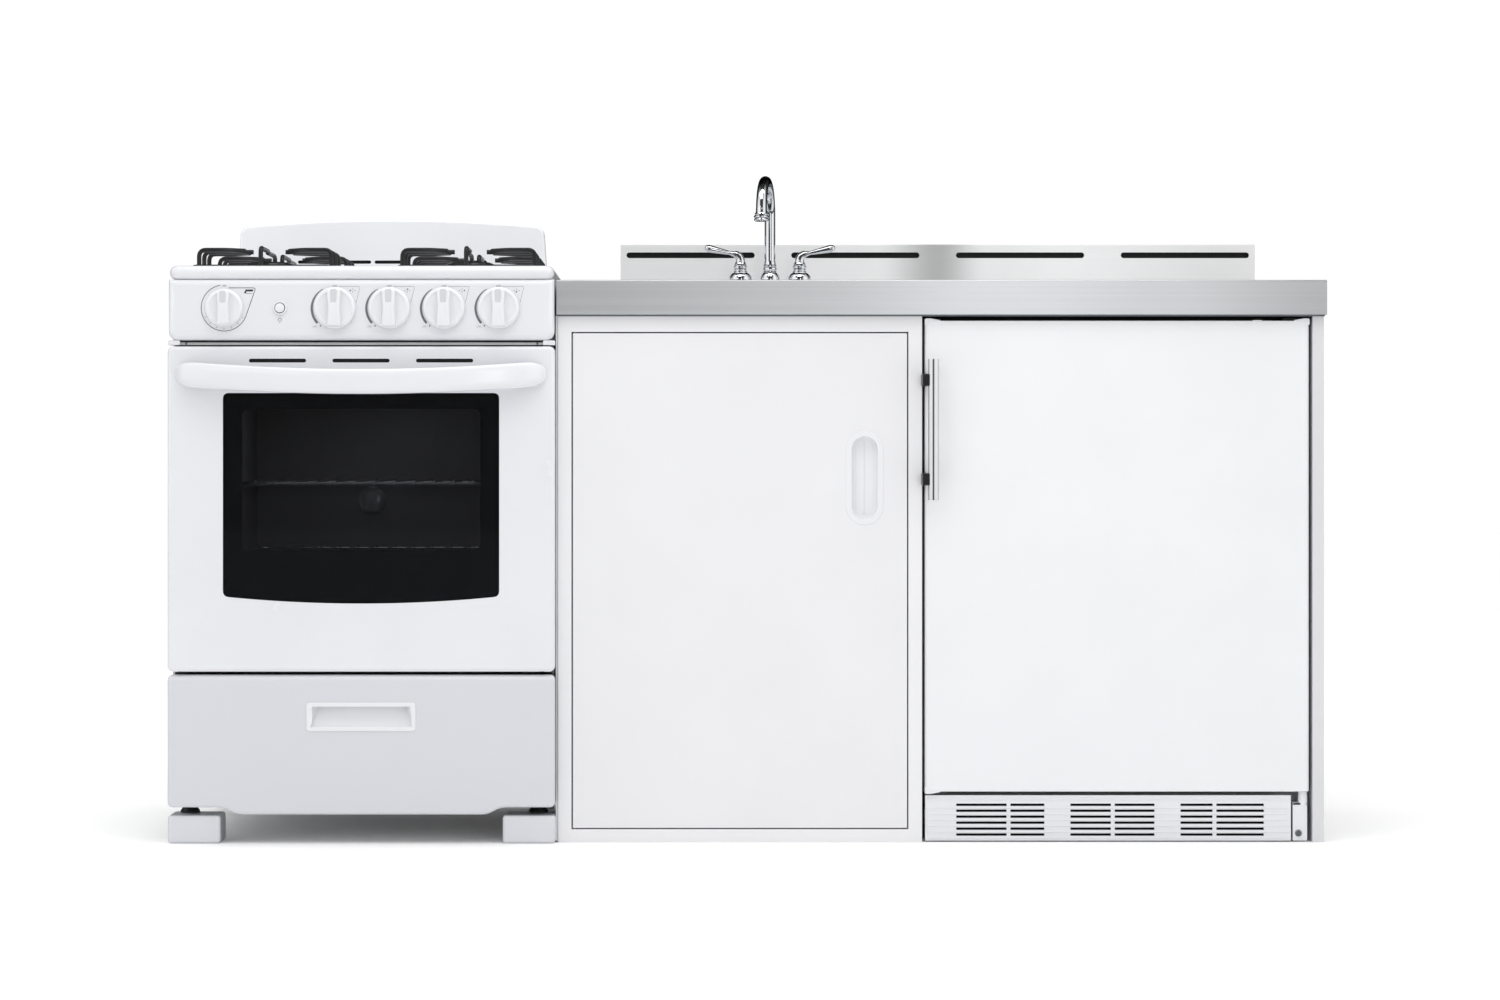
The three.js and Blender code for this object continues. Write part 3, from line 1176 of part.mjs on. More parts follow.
const dialTop = FRIDGE.z1 - INSULATION;
add('thermostat_dial', turned([
  [0, dialTop - 14], [16, dialTop - 14], [20, dialTop - 11], [20, dialTop - GAP],
  [DIAL_STEM, dialTop - GAP], [DIAL_STEM, dialTop + 10], [0, dialTop + 10],
], DIAL.x, DIAL.y, 0), GREY);

const inner0 = FRIDGE.x0 + INSULATION + GAP;
const inner1 = FRIDGE.x1 - INSULATION - GAP;
add('fridge_shelf', upright(
  rounded(inner0, inner1, FRIDGE.y0 + 30, FRIDGE.y1 - INSULATION - 10, 6), SHELF_Z, SHELF_Z + 6,
    { arc: 3 }), CLEAR);
add('crisper_bin', cut(
  box(inner0 + 8, inner1 - 8, FRIDGE.y0 + 16, BAY_FRONT - INSULATION - 6, 95, 238),
  [box(inner0 + 11, inner1 - 11, FRIDGE.y0 + 19, BAY_FRONT - INSULATION - 9, 98, 245)],
), CLEAR);

function compressor() {
  const y = (BAY_FRONT + FRIDGE.y1) / 2 + 10;
  const z = FRIDGE.z0 + 4;
  const base = box(FRIDGE_MID - 115, FRIDGE_MID + 115, y - 60, y + 60, z, z + 4);
  const shell = turned([[0, z + 3], [30, z + 3], [58, z + 22], [62, z + 50], [62, z + 80], [54, z + 110],
    [25, z + 130], [0, z + 134]],
    FRIDGE_MID, y, 0);
  return join([base, shell]);
}
add('compressor', compressor(), BLACK);

const HINGE_X = FRIDGE_DOOR.x1 - 9;
const HINGE_Y = FRIDGE_DOOR.y0 + 12;
const HINGE_PIN = 3;
const DOOR_RIM = 50;
function fridgeDoor() {
  const d = FRIDGE_DOOR;
  const block = upright(rounded(d.x0, d.x1, d.y0, d.y1, 6), d.z0, d.z1, { edge: 3, rings: 2, arc: 3 });
  const x0 = d.x0 + DOOR_RIM;
  const x1 = d.x1 - DOOR_RIM;
  const deep = d.y1 - 22;
  const recess = box(x0, x1, deep, d.y1 + 5, d.z0 + 50, d.z1 - 50);
  const pieces = [cut(block, [recess])];
  for (const up of [90, 300, 510]) {
    const z = d.z0 + up;
    pieces.push(box(x0 - 1, x1 + 1, deep - 1, d.y1 - 1, z, z + 3));
    pieces.push(box(x0 - 1, x1 + 1, d.y1 - 4, d.y1 - 1, z, z + 42));
  }
  const holes = [[d.z0 - 5, d.z0 + 14], [d.z1 - 14, d.z1 + 5]].map(
    ([low, high]) => post(HINGE_X, HINGE_Y, low, high, HINGE_PIN + GAP));
  return cut(join(pieces), holes);
}
add('fridge_door', fridgeDoor(), WHITE);

function ring(inset, wide, y0, y1) {
  const d = FRIDGE_DOOR;
  const shape = rounded(d.x0 + inset, d.x1 - inset, d.z0 + inset, d.z1 - inset, 8);
  shape.holes.push(rounded(d.x0 + inset + wide, d.x1 - inset - wide, d.z0 + inset + wide,
    d.z1 - inset - wide, 4));
  return frontal(shape, y0, y1, { arc: 3 });
}
add('door_gasket', ring(14, 18, FRIDGE_DOOR.y1, FRIDGE.y0 - GAP), GREY);

// handle bar and its two black brackets on the door's left edge
const BAR = { x: FRIDGE_DOOR.x0 + 11, y: FRONT - 24, r: 8.3, z0: FRIDGE_DOOR.z1 - 283.4,
  z1: FRIDGE_DOOR.z1 - 61.5 };
const barBody = post(BAR.x, BAR.y, BAR.z0, BAR.z1, BAR.r, ROUND);
add('fridge_handle_bar', barBody, STEEL);
for (const [place, up] of [['lower', 23.2], ['upper', 179.4]]) {
  const low = BAR.z0 + up;
  const high = low + 19;
  const arm = box(FRIDGE_DOOR.x0 - 6, BAR.x, BAR.y - 6, FRIDGE_DOOR.y0 - 0.5, low, high);
  const plate = box(FRIDGE_DOOR.x0 - 2.5, FRIDGE_DOOR.x0, FRIDGE_DOOR.y0 - 2, FRIDGE_DOOR.y0 + 18, low,
    high);
  const room = box(FRIDGE_DOOR.x0 + 3.5, BAR.x + 5, BAR.y + 10, FRIDGE_DOOR.y0, low - 1, high + 1);
  add(`handle_bracket_${place}`, cut(join([arm, plate]), [barBody, room]), BLACK);
}

// kick grille with three groups of louvres
function kickGrille() {
  const x0 = FRIDGE_DOOR.x0 + 0.5;
  const x1 = HINGE_X - 19.5;
  const y0 = FRONT + 16;
  const panel = box(x0, x1, y0, y0 + 4, 2, 74);
  const tabs = [[x0, x0 + 4], [x1 - 4, x1]].map(([a, b]) => box(a, b, y0 + 2, FRIDGE.y0, 52, 72));
  const shares = [[0.085, 0.326, 0.228], [0.397, 0.627, 0.513], [0.698, 0.926, 0.791]];
  const rows = [58.8, 49.4, 40, 30.5, 21, 11.7];
  const slots = [];
  for (const share of shares) {
    const [a, b, bar] = share.map((part) => x0 + part * (x1 - x0));
    for (const z of rows) {
      slots.push(box(a, bar - 3, y0 - 5, y0 + 10, z - 2, z + 2));
      slots.push(box(bar + 3, b, y0 - 5, y0 + 10, z - 2, z + 2));
    }
  }
  return cut(join([panel, ...tabs]), slots);
}
add('kick_grille', kickGrille(), SOFT_WHITE);

function lowerHinge() {
  const x0 = HINGE_X - 16.5;
  const x1 = HINGE_X + 6.5;
  const strap = box(x0, x1, FRONT + 18, FRONT + 22, 2, 62);
  const arm = box(x0, x1, FRONT + 18, FRIDGE.y0, 56, 62);
  const collar = post(HINGE_X, HINGE_Y, 56, FRIDGE_DOOR.z0 - GAP, 7.5, 16);
  const pin = post(HINGE_X, HINGE_Y, 60, FRIDGE_DOOR.z0 + 13, HINGE_PIN);
  const head = pegY(HINGE_X - 7.5, 14, FRONT + 15.5, FRONT + 19, 5.5, 16);
  return join([strap, arm, collar, pin, head]);
}
add('fridge_hinge_lower', lowerHinge(), WHITE);

const upperPlate = box(HINGE_X - 33.5, HINGE_X + 6.5, FRONT + 16, FRIDGE.y0 + 40, FRIDGE.z1, FRIDGE.z1 + 3);
const upperPin = post(HINGE_X, HINGE_Y, FRIDGE_DOOR.z1 - 13, FRIDGE.z1 + 2, HINGE_PIN);
add('fridge_hinge_upper', join([upperPlate, upperPin]), ZINC);

export default group;
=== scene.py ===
import math
import bpy
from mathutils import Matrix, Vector


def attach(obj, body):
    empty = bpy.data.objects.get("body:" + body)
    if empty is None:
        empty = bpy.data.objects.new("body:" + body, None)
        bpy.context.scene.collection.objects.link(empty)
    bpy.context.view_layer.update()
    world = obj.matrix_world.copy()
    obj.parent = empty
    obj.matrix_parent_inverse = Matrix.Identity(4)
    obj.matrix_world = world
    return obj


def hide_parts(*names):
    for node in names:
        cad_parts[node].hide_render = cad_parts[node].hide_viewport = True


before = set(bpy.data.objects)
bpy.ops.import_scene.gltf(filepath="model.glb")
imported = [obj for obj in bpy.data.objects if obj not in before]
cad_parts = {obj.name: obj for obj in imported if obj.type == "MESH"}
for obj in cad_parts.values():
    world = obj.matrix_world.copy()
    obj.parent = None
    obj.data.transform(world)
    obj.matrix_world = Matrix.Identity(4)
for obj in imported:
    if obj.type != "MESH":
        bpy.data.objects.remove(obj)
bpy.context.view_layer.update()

# ---------------------------------------------------------------- sizes, in millimetres
MM = 0.001
RANGE_MID = -609.0
FRONT = -286.5
BACK = 348.5
COUNTER_TOP = 889.0
KNOB_Z = 844.0
KNOB_SPOTS = (-41.5, 44.5, 130.5, 216.5)
DIAL_SPOT, BUTTON_SPOT = -215.5, -128
BURNER_SIDE, BURNER_NEAR, BURNER_FAR = 163, 155, 415
PANEL_FACE = FRONT - 12
DOOR_FACE = FRONT - 15


# ---------------------------------------------------------------- bench tools
def point(x, y, z):
    return Vector((x * MM, y * MM, z * MM))


def active(piece):
    bpy.ops.object.select_all(action="DESELECT")
    bpy.context.view_layer.objects.active = piece
    piece.select_set(True)
    return piece


def named(piece, name):
    piece.name = name
    piece.data.name = name
    return piece


def place(piece):
    active(piece)
    bpy.ops.object.transform_apply(location=True, rotation=True, scale=True)
    return piece


def smooth(piece, angle=32):
    active(piece)
    bpy.ops.object.shade_smooth_by_angle(angle=math.radians(angle))
    return piece


def edit(piece, mode="EDGE"):
    active(piece)
    bpy.ops.object.mode_set(mode="EDIT")
    bpy.ops.mesh.select_mode(type=mode)
    bpy.ops.mesh.select_all(action="DESELECT")
    bpy.ops.object.mode_set(mode="OBJECT")


def pick_edges(piece, wanted):
    edit(piece, "EDGE")
    spots = piece.data.vertices
    for line in piece.data.edges:
        a, b = (spots[i].co for i in line.vertices)
        line.select = wanted(a, b)
    bpy.ops.object.mode_set(mode="EDIT")


def pick_faces(piece, wanted):
    edit(piece, "FACE")
    for side in piece.data.polygons:
        side.select = wanted(side.center, side.normal)
    bpy.ops.object.mode_set(mode="EDIT")


def pick_points(piece, wanted):
    edit(piece, "VERT")
    for spot in piece.data.vertices:
        spot.select = wanted(spot.co)
    bpy.ops.object.mode_set(mode="EDIT")


def done():
    bpy.ops.object.mode_set(mode="OBJECT")


def faces_front(centre, normal):
    return normal.y < -0.9


def faces_up(centre, normal):
    return normal.z > 0.9


def round_picked(width, steps):
    """Rounds the edges picked in edit mode, and ends in object mode."""
    bpy.ops.mesh.bevel(offset=width * MM, segments=steps, affect="EDGES")
    done()


def apply_modifier(piece, kind, **settings):
    active(piece)
    step = piece.modifiers.new("step", kind)
    for key, value in settings.items():
        setattr(step, key, value)
    bpy.ops.object.modifier_apply(modifier=step.name)
    return piece


def soften(piece, width, steps=2, angle=32):
    return apply_modifier(
        piece, "BEVEL", width=width * MM, segments=steps, limit_method="ANGLE",
        angle_limit=math.radians(angle), harden_normals=False,
    )


def block(name, x, y, z):
    """A box from its limits in X, Y and Z."""
    bpy.ops.object.select_all(action="DESELECT")
    middle = point(sum(x) / 2, sum(y) / 2, sum(z) / 2)
    bpy.ops.mesh.primitive_cube_add(size=1, location=middle)
    piece = bpy.context.active_object
    piece.scale = ((x[1] - x[0]) * MM, (y[1] - y[0]) * MM, (z[1] - z[0]) * MM)
    return named(place(piece), name)


def slab(name, x, y, z, corner=0, along="Y", steps=6, edge=0, rings=3, only=None):
    """A box with its corners along one axis rounded, then all its edges softened."""
    piece = block(name, x, y, z)
    axis = "XYZ".index(along)
    if corner:
        def runs_along(a, b):
            straight = abs((b - a).normalized()[axis]) > 0.99
            return straight and (only is None or only((a + b) / 2 / MM))
        pick_edges(piece, runs_along)
        bpy.ops.mesh.bevel(offset=corner * MM, segments=steps, affect="EDGES", clamp_overlap=True)
        done()
    if edge:
        soften(piece, edge, rings)
    return smooth(piece)


def combine(piece, tool, operation):
    apply_modifier(piece, "BOOLEAN", object=tool, operation=operation, solver="EXACT")
    bpy.data.objects.remove(tool)
    return piece


def carve(piece, *tools):
    for tool in tools:
        combine(piece, tool, "DIFFERENCE")
    return piece


def join(name, pieces):
    active(pieces[0])
    for other in pieces[1:]:
        other.select_set(True)
    bpy.ops.object.join()
    return named(bpy.context.active_object, name)


def disc(name, centre, radius, low, high, along="Z", steps=48, edge=0):
    """A round bar between two stations on its axis."""
    bpy.ops.object.select_all(action="DESELECT")
    axis = "XYZ".index(along)
    spot = list(centre)
    spot[axis] = (low + high) / 2
    turn = {"Z": (0, 0, 0), "Y": (math.pi / 2, 0, 0), "X": (0, math.pi / 2, 0)}[along]
    bpy.ops.mesh.primitive_cylinder_add(
        vertices=steps, radius=radius * MM, depth=(high - low) * MM, location=point(*spot), rotation=turn,
    )
    piece = named(place(bpy.context.active_object), name)
    if edge:
        soften(piece, edge, 2)
    return smooth(piece)


def trace(spots):
    """An open line of edges through the spots, selected in edit mode."""
    bpy.ops.object.select_all(action="DESELECT")
    bpy.ops.mesh.primitive_plane_add(size=0.001, location=(0, 0, 0))
    piece = bpy.context.active_object
    bpy.ops.object.mode_set(mode="EDIT")
    bpy.ops.mesh.select_mode(type="VERT")
    bpy.ops.mesh.select_all(action="SELECT")
    bpy.ops.mesh.merge(type="CENTER")
    bpy.ops.transform.translate(value=spots[0])
    for last, here in zip(spots, spots[1:]):
        bpy.ops.mesh.extrude_region_move(TRANSFORM_OT_translate={"value": here - last})
    bpy.ops.mesh.select_all(action="SELECT")
    return piece


def turned(name, profile, centre, along="Z", steps=48, angle=32):
    """A lathe piece: pairs of radius and station, spun about an axis. Along Y the stations run forward."""
    ways = {"Z": lambda r, h: (r, 0, h), "Y": lambda r, h: (r, -h, 0), "X": lambda r, h: (h, r, 0)}
    piece = trace([point(*ways[along](radius, station)) for radius, station in profile])
    axis = {"Z": (0, 0, 1), "Y": (0, 1, 0), "X": (1, 0, 0)}[along]
    bpy.ops.mesh.spin(steps=steps, angle=2 * math.pi, center=(0, 0, 0), axis=axis)
    bpy.ops.mesh.select_all(action="SELECT")
    bpy.ops.mesh.remove_doubles(threshold=0.00002)
    bpy.ops.mesh.normals_make_consistent(inside=False)
    done()
    piece.location = point(*centre)
    return smooth(named(place(piece), name), angle)


def outline(name, points, depth):
    """A flat outline of X and Z pairs, filled and pulled from depth[0] back to depth[1]."""
    piece = trace([point(u, depth[0], v) for u, v in points])
    bpy.ops.mesh.edge_face_add()
    bpy.ops.mesh.extrude_region_move(TRANSFORM_OT_translate={"value": (0, (depth[1] - depth[0]) * MM, 0)})
    bpy.ops.mesh.select_all(action="SELECT")
    bpy.ops.mesh.normals_make_consistent(inside=False)
    done()
    return named(piece, name)


def bent(corners, reach, slices=6):
    """Points along straight runs, each inner corner rounded."""
    spots = [Vector(c) for c in corners]
    path = [spots[0]]
    for i in range(1, len(spots) - 1):
        back, on = spots[i - 1] - spots[i], spots[i + 1] - spots[i]
        r = min(reach, back.length * 0.48, on.length * 0.48)
        start, end = spots[i] + back.normalized() * r, spots[i] + on.normalized() * r
        for k in range(slices + 1):
            t = k / slices
            path.append(start * (1 - t) ** 2 + spots[i] * 2 * t * (1 - t) + end * t * t)
    return path + [spots[-1]]


def flattened(path):
    """The X and Z of each point on a path."""
    return [(spot[0], spot[2]) for spot in path]


def wire(name, path, radius, swell=None, fine=4, section=None, closed=False):
    """A rod or tube along a path of points; swell gives each point's share of the radius."""
    line = bpy.data.curves.new(name, "CURVE")
    line.dimensions = "3D"
    line.fill_mode = "FULL"
    line.use_fill_caps = not closed
    if section:
        line.bevel_mode = "OBJECT"
        line.bevel_object = section
        line.twist_mode = "Z_UP"
    else:
        line.bevel_depth = radius * MM
        line.bevel_resolution = fine
    run = line.splines.new("POLY")
    run.points.add(len(path) - 1)
    run.use_cyclic_u = closed
    for i, spot in enumerate(path):
        run.points[i].co = (*[c * MM for c in spot], 1)
        run.points[i].radius = swell[i] if swell else 1
    piece = bpy.data.objects.new(name, line)
    bpy.context.scene.collection.objects.link(piece)
    active(piece)
    bpy.ops.object.convert(target="MESH")
    return smooth(named(bpy.context.active_object, name), 50)


def words(name, text, size, centre, depth):
    """Small lettering on a front face, a tenth of a millimetre proud of the given depth."""
    bpy.ops.object.select_all(action="DESELECT")
    bpy.ops.object.text_add(location=(0, 0, 0))
    label = bpy.context.active_object
    label.data.body = text
    label.data.size = size * MM
    label.data.align_x = "CENTER"
    label.data.align_y = "CENTER"
    label.data.extrude = 0.0001
    label.rotation_euler = (math.pi / 2, 0, 0)
    label.location = point(centre[0], depth, centre[1])
    bpy.ops.object.convert(target="MESH")
    return named(place(bpy.context.active_object), name)


# ---------------------------------------------------------------- finishes
def srgb(r, g, b):
    linear = [((c / 255 + 0.055) / 1.055) ** 2.4 if c > 10 else c / 255 / 12.92 for c in (r, g, b)]
    return (*linear, 1.0)


def node_group(name, inputs, outputs):
    tree = bpy.data.node_groups.new(name, "ShaderNodeTree")
    for label, kind, value in inputs:
        socket = tree.interface.new_socket(name=label, in_out="INPUT", socket_type=kind)
        socket.default_value = value
    for label, kind in outputs:
        tree.interface.new_socket(name=label, in_out="OUTPUT", socket_type=kind)
    return tree, tree.nodes.new("NodeGroupInput"), tree.nodes.new("NodeGroupOutput")


def build_grain():
    """Fine speckle for bump and a slow drift for tone, both from object position."""
    tree, start, end = node_group(
        "surface_grain",
        [("Vector", "NodeSocketVector", (0, 0, 0)), ("Fineness", "NodeSocketFloat", 400.0),
         ("Drift Size", "NodeSocketFloat", 6.0)],
        [("Height", "NodeSocketFloat"), ("Tone", "NodeSocketFloat")],
    )
    fine = tree.nodes.new("ShaderNodeTexNoise")
    fine.inputs["Detail"].default_value = 3
    slow = tree.nodes.new("ShaderNodeTexNoise")
    slow.inputs["Detail"].default_value = 4
    tree.links.new(start.outputs["Vector"], fine.inputs["Vector"])
    tree.links.new(start.outputs["Vector"], slow.inputs["Vector"])
    tree.links.new(start.outputs["Fineness"], fine.inputs["Scale"])
    tree.links.new(start.outputs["Drift Size"], slow.inputs["Scale"])
    tree.links.new(fine.outputs["Fac"], end.inputs["Height"])
    tree.links.new(slow.outputs["Fac"], end.inputs["Tone"])
    return tree


def build_brushing():
    """Long fine scratches from stretched noise, for brushed metal."""
    tree, start, end = node_group(
        "brushed_lines",
        [("Vector", "NodeSocketVector", (0, 0, 0)), ("Stretch", "NodeSocketVector", (4, 900, 900))],
        [("Height", "NodeSocketFloat"), ("Streak", "NodeSocketFloat")],
    )
    scaled = tree.nodes.new("ShaderNodeVectorMath")
    scaled.operation = "MULTIPLY"
    tree.links.new(start.outputs["Vector"], scaled.inputs[0])
    tree.links.new(start.outputs["Stretch"], scaled.inputs[1])
    fine = tree.nodes.new("ShaderNodeTexNoise")
    fine.inputs["Scale"].default_value = 1
    fine.inputs["Detail"].default_value = 4
    broad = tree.nodes.new("ShaderNodeTexNoise")
    broad.inputs["Scale"].default_value = 0.22
    broad.inputs["Detail"].default_value = 3
    for tex in (fine, broad):
        tree.links.new(scaled.outputs[0], tex.inputs["Vector"])
    tree.links.new(fine.outputs["Fac"], end.inputs["Height"])
    tree.links.new(broad.outputs["Fac"], end.inputs["Streak"])
    return tree


def build_wear():
    """A mask that is high on worn outer edges, broken up by noise."""
    tree, start, end = node_group(
        "edge_wear",
        [("Vector", "NodeSocketVector", (0, 0, 0)), ("Amount", "NodeSocketFloat", 0.5)],
        [("Mask", "NodeSocketFloat")],
    )
    shape = tree.nodes.new("ShaderNodeNewGeometry")
    ramp = tree.nodes.new("ShaderNodeMapRange")
    ramp.inputs["From Min"].default_value = 0.52
    ramp.inputs["From Max"].default_value = 0.62
    noise = tree.nodes.new("ShaderNodeTexNoise")
    noise.inputs["Scale"].default_value = 60
    noise.inputs["Detail"].default_value = 5
    both = tree.nodes.new("ShaderNodeMath")
    both.operation = "MULTIPLY"
    scaled = tree.nodes.new("ShaderNodeMath")
    scaled.operation = "MULTIPLY"
    tree.links.new(shape.outputs["Pointiness"], ramp.inputs["Value"])
    tree.links.new(start.outputs["Vector"], noise.inputs["Vector"])
    tree.links.new(ramp.outputs["Result"], both.inputs[0])
    tree.links.new(noise.outputs["Fac"], both.inputs[1])
    tree.links.new(both.outputs[0], scaled.inputs[0])
    tree.links.new(start.outputs["Amount"], scaled.inputs[1])
    tree.links.new(scaled.outputs[0], end.inputs["Mask"])
    return tree


GRAIN = build_grain()
BRUSHING = build_brushing()
WEAR = build_wear()


def finish(
    name, colour, rough, metal=0.0, gloss=0.5, shade=None, fineness=400, drift=6, bump=0.05,
    bump_depth=0.0002,
    rough_spread=0.08, coat=0.0, brushed=None, streak=0.12, clear=0.0, index=1.5, worn=None, wear=0.4,
    turned_grain=0.0,
):
    """One surface finish: colour that drifts a little, roughness that varies, and a fine bump."""
    look = bpy.data.materials.new(name)
    look.use_nodes = True
    nodes, links = look.node_tree.nodes, look.node_tree.links
    shader = nodes["Principled BSDF"]
    shader.inputs["Metallic"].default_value = metal
    shader.inputs["Coat Weight"].default_value = coat
    shader.inputs["Coat Roughness"].default_value = 0.06
    shader.inputs["IOR"].default_value = index
    shader.inputs["Specular IOR Level"].default_value = gloss
    shader.inputs["Transmission Weight"].default_value = clear
    shader.inputs["Anisotropic"].default_value = turned_grain
    where = nodes.new("ShaderNodeTexCoord")
    grain = nodes.new("ShaderNodeGroup")
    grain.node_tree = GRAIN
    grain.inputs["Fineness"].default_value = fineness
    grain.inputs["Drift Size"].default_value = drift
    links.new(where.outputs["Object"], grain.inputs["Vector"])
    height, tone = grain.outputs["Height"], grain.outputs["Tone"]
    if brushed:
        lines = nodes.new("ShaderNodeGroup")
        lines.node_tree = BRUSHING
        lines.inputs["Stretch"].default_value = brushed
        links.new(where.outputs["Object"], lines.inputs["Vector"])
        height = lines.outputs["Height"]
    mix = nodes.new("ShaderNodeMix")
    mix.data_type = "RGBA"
    mix.inputs["A"].default_value = srgb(*colour)
    mix.inputs["B"].default_value = srgb(*(shade or [c * 0.97 for c in colour]))
    links.new(tone, mix.inputs["Factor"])
    base = mix.outputs["Result"]
    if brushed:
        fleck = nodes.new("ShaderNodeMix")
        fleck.data_type = "RGBA"
        fleck.blend_type = "MULTIPLY"
        fleck.inputs["Factor"].default_value = streak
        links.new(base, fleck.inputs["A"])
        links.new(lines.outputs["Streak"], fleck.inputs["B"])
        base = fleck.outputs["Result"]
    if worn:
        rub = nodes.new("ShaderNodeGroup")
        rub.node_tree = WEAR
        rub.inputs["Amount"].default_value = wear
        links.new(where.outputs["Object"], rub.inputs["Vector"])
        over = nodes.new("ShaderNodeMix")
        over.data_type = "RGBA"
        over.inputs["B"].default_value = srgb(*worn)
        links.new(rub.outputs["Mask"], over.inputs["Factor"])
        links.new(base, over.inputs["A"])
        base = over.outputs["Result"]
    links.new(base, shader.inputs["Base Color"])
    spread = nodes.new("ShaderNodeMapRange")
    spread.inputs["To Min"].default_value = max(0.0, rough - rough_spread)
    spread.inputs["To Max"].default_value = rough + rough_spread
    links.new(lines.outputs["Streak"] if brushed else tone, spread.inputs["Value"])
    links.new(spread.outputs["Result"], shader.inputs["Roughness"])
    relief = nodes.new("ShaderNodeBump")
    relief.inputs["Strength"].default_value = bump
    relief.inputs["Distance"].default_value = bump_depth
    links.new(height, relief.inputs["Height"])
    links.new(relief.outputs["Normal"], shader.inputs["Normal"])
    return look


ENAMEL = finish("range_enamel", (238, 239, 243), 0.24, coat=0.4, fineness=260, bump=0.12,
                worn=(214, 216, 221), wear=0.25)
# painted light: the backguard's enamel is a brighter copy of range_enamel, standing in for light that falls
# short on it; its worn edges are real wear
ENAMEL_PAINTED_LIGHT = finish("backguard_enamel_painted_light", (251, 252, 255), 0.24, coat=0.4, fineness=260, bump=0.12,
                     worn=(226, 228, 232), wear=0.25)
# painted shade: the drawer's enamel is a darker copy of range_enamel, standing in for the light falling off
# low on the range
ENAMEL_PAINTED_SHADE = finish("drawer_enamel_painted_shade", (220, 221, 226), 0.26, coat=0.35, shade=(218, 219, 224), fineness=260,
                    bump=0.12, rough_spread=0.02)
FOOT_WHITE = finish("foot_enamel", (225, 226, 231), 0.3, coat=0.2, fineness=320, bump=0.15,
                    worn=(196, 198, 204), wear=0.4)
CABINET = finish("cabinet_paint", (243, 243, 245), 0.42, fineness=520, bump=0.3, rough_spread=0.06)
# painted shade: the end panel's paint is a darker copy of cabinet_paint, standing in for the shade on it
END_SHADED_PAINT = finish("end_panel_painted_shade", (226, 226, 229), 0.42, fineness=520, bump=0.3, rough_spread=0.06)
CABINET_DOOR = finish("cabinet_door_paint", (240, 240, 242), 0.36, fineness=620, bump=0.3, rough_spread=0.06)
FRIDGE_WHITE = finish("fridge_door_paint", (244, 245, 247), 0.34, coat=0.15, fineness=700, bump=0.45,
                      rough_spread=0.05)
FRIDGE_CASE = finish("fridge_case_paint", (232, 233, 235), 0.45, fineness=700, bump=0.4)
STEEL = finish("brushed_steel_long", (249, 252, 254), 0.3, 0.5, brushed=(3, 1100, 1100), bump=0.22,
               streak=0.22, rough_spread=0.07, turned_grain=0.5)
STEEL_BOWL = finish("brushed_steel_bowl", (198, 200, 202), 0.26, 1.0, brushed=(40, 40, 700), bump=0.15,
                    streak=0.2, rough_spread=0.08)
STEEL_SPLASH = finish("brushed_steel_splash", (254, 254, 254), 0.34, 0.08, brushed=(2.2, 900, 900),
                      bump=0.2, streak=0.08, rough_spread=0.08)
BAR_METAL = finish("satin_bar", (252, 252, 253), 0.25, 0.35, brushed=(900, 900, 4), bump=0.04, streak=0.06,
                   rough_spread=0.04)
# painted shadow: the grey of the worktop lip's shadow, laid on a strip under the lip
LIP_SHADOW_GREY = finish("lip_painted_shadow", (112, 118, 124), 0.5, fineness=700, bump=0.2)
CHROME = finish("polished_chrome", (226, 228, 231), 0.05, 1.0, fineness=90, drift=30, bump=0.01,
                rough_spread=0.025)
WIRE_CHROME = finish("rack_wire", (168, 170, 172), 0.2, 1.0, fineness=300, drift=40, bump=0.08)
IRON = finish("grate_iron", (22, 22, 24), 0.36, 0.0, fineness=900, bump=0.5, rough_spread=0.14,
              worn=(70, 70, 72), wear=0.5)
CAP_ENAMEL = finish("burner_cap_enamel", (26, 26, 28), 0.34, coat=0.3, fineness=700, bump=0.3,
                    rough_spread=0.1)
BURNER_ALLOY = finish("burner_alloy", (168, 168, 166), 0.4, 0.9, fineness=500, bump=0.4, rough_spread=0.12)
GLASS = finish("smoked_glass", (214, 216, 219), 0.02, 0.0, 0.1, clear=1.0, fineness=40, bump=0.003,
               rough_spread=0.01, index=1.4)
FRIT = finish("window_print", (54, 54, 57), 0.4, gloss=0.1, fineness=300, bump=0.02, rough_spread=0.03)
OVEN = finish("oven_enamel", (112, 112, 116), 0.45, coat=0.0, shade=(92, 92, 96), fineness=600, bump=0.35,
              rough_spread=0.12)
PLASTIC = finish("knob_plastic", (240, 241, 244), 0.3, fineness=500, bump=0.06, coat=0.15, rough_spread=0.05)
PLASTIC_GREY = finish("grey_plastic", (216, 217, 221), 0.5, fineness=600, bump=0.2)
PLASTIC_BLACK = finish("black_plastic", (24, 24, 26), 0.42, fineness=800, bump=0.35, rough_spread=0.1)
PRINT_GREY = finish("grey_print", (112, 115, 124), 0.5, fineness=900, bump=0.05)
PRINT_DARK = finish("dark_print", (52, 54, 62), 0.5, fineness=900, bump=0.05)
# painted shade: flat black for sheets and strips set in gaps and behind openings, where there is only shade
PAINTED_SHADE_BLACK = finish("shadow_black", (14, 14, 15), 0.7, fineness=500, bump=0.2)
ZINC = finish("zinc_plate", (176, 179, 180), 0.42, 0.9, shade=(150, 153, 155), fineness=160, drift=60,
              bump=0.2, rough_spread=0.14)
RUBBER = finish("gasket_rubber", (206, 207, 209), 0.6, fineness=900, bump=0.3)
CLEAR = finish("clear_plastic", (232, 240, 242), 0.08, clear=0.85, fineness=120, bump=0.02, index=1.49)
PIPE = finish("chromed_pipe", (206, 208, 211), 0.16, 1.0, fineness=200, drift=25, bump=0.04,
              rough_spread=0.06)


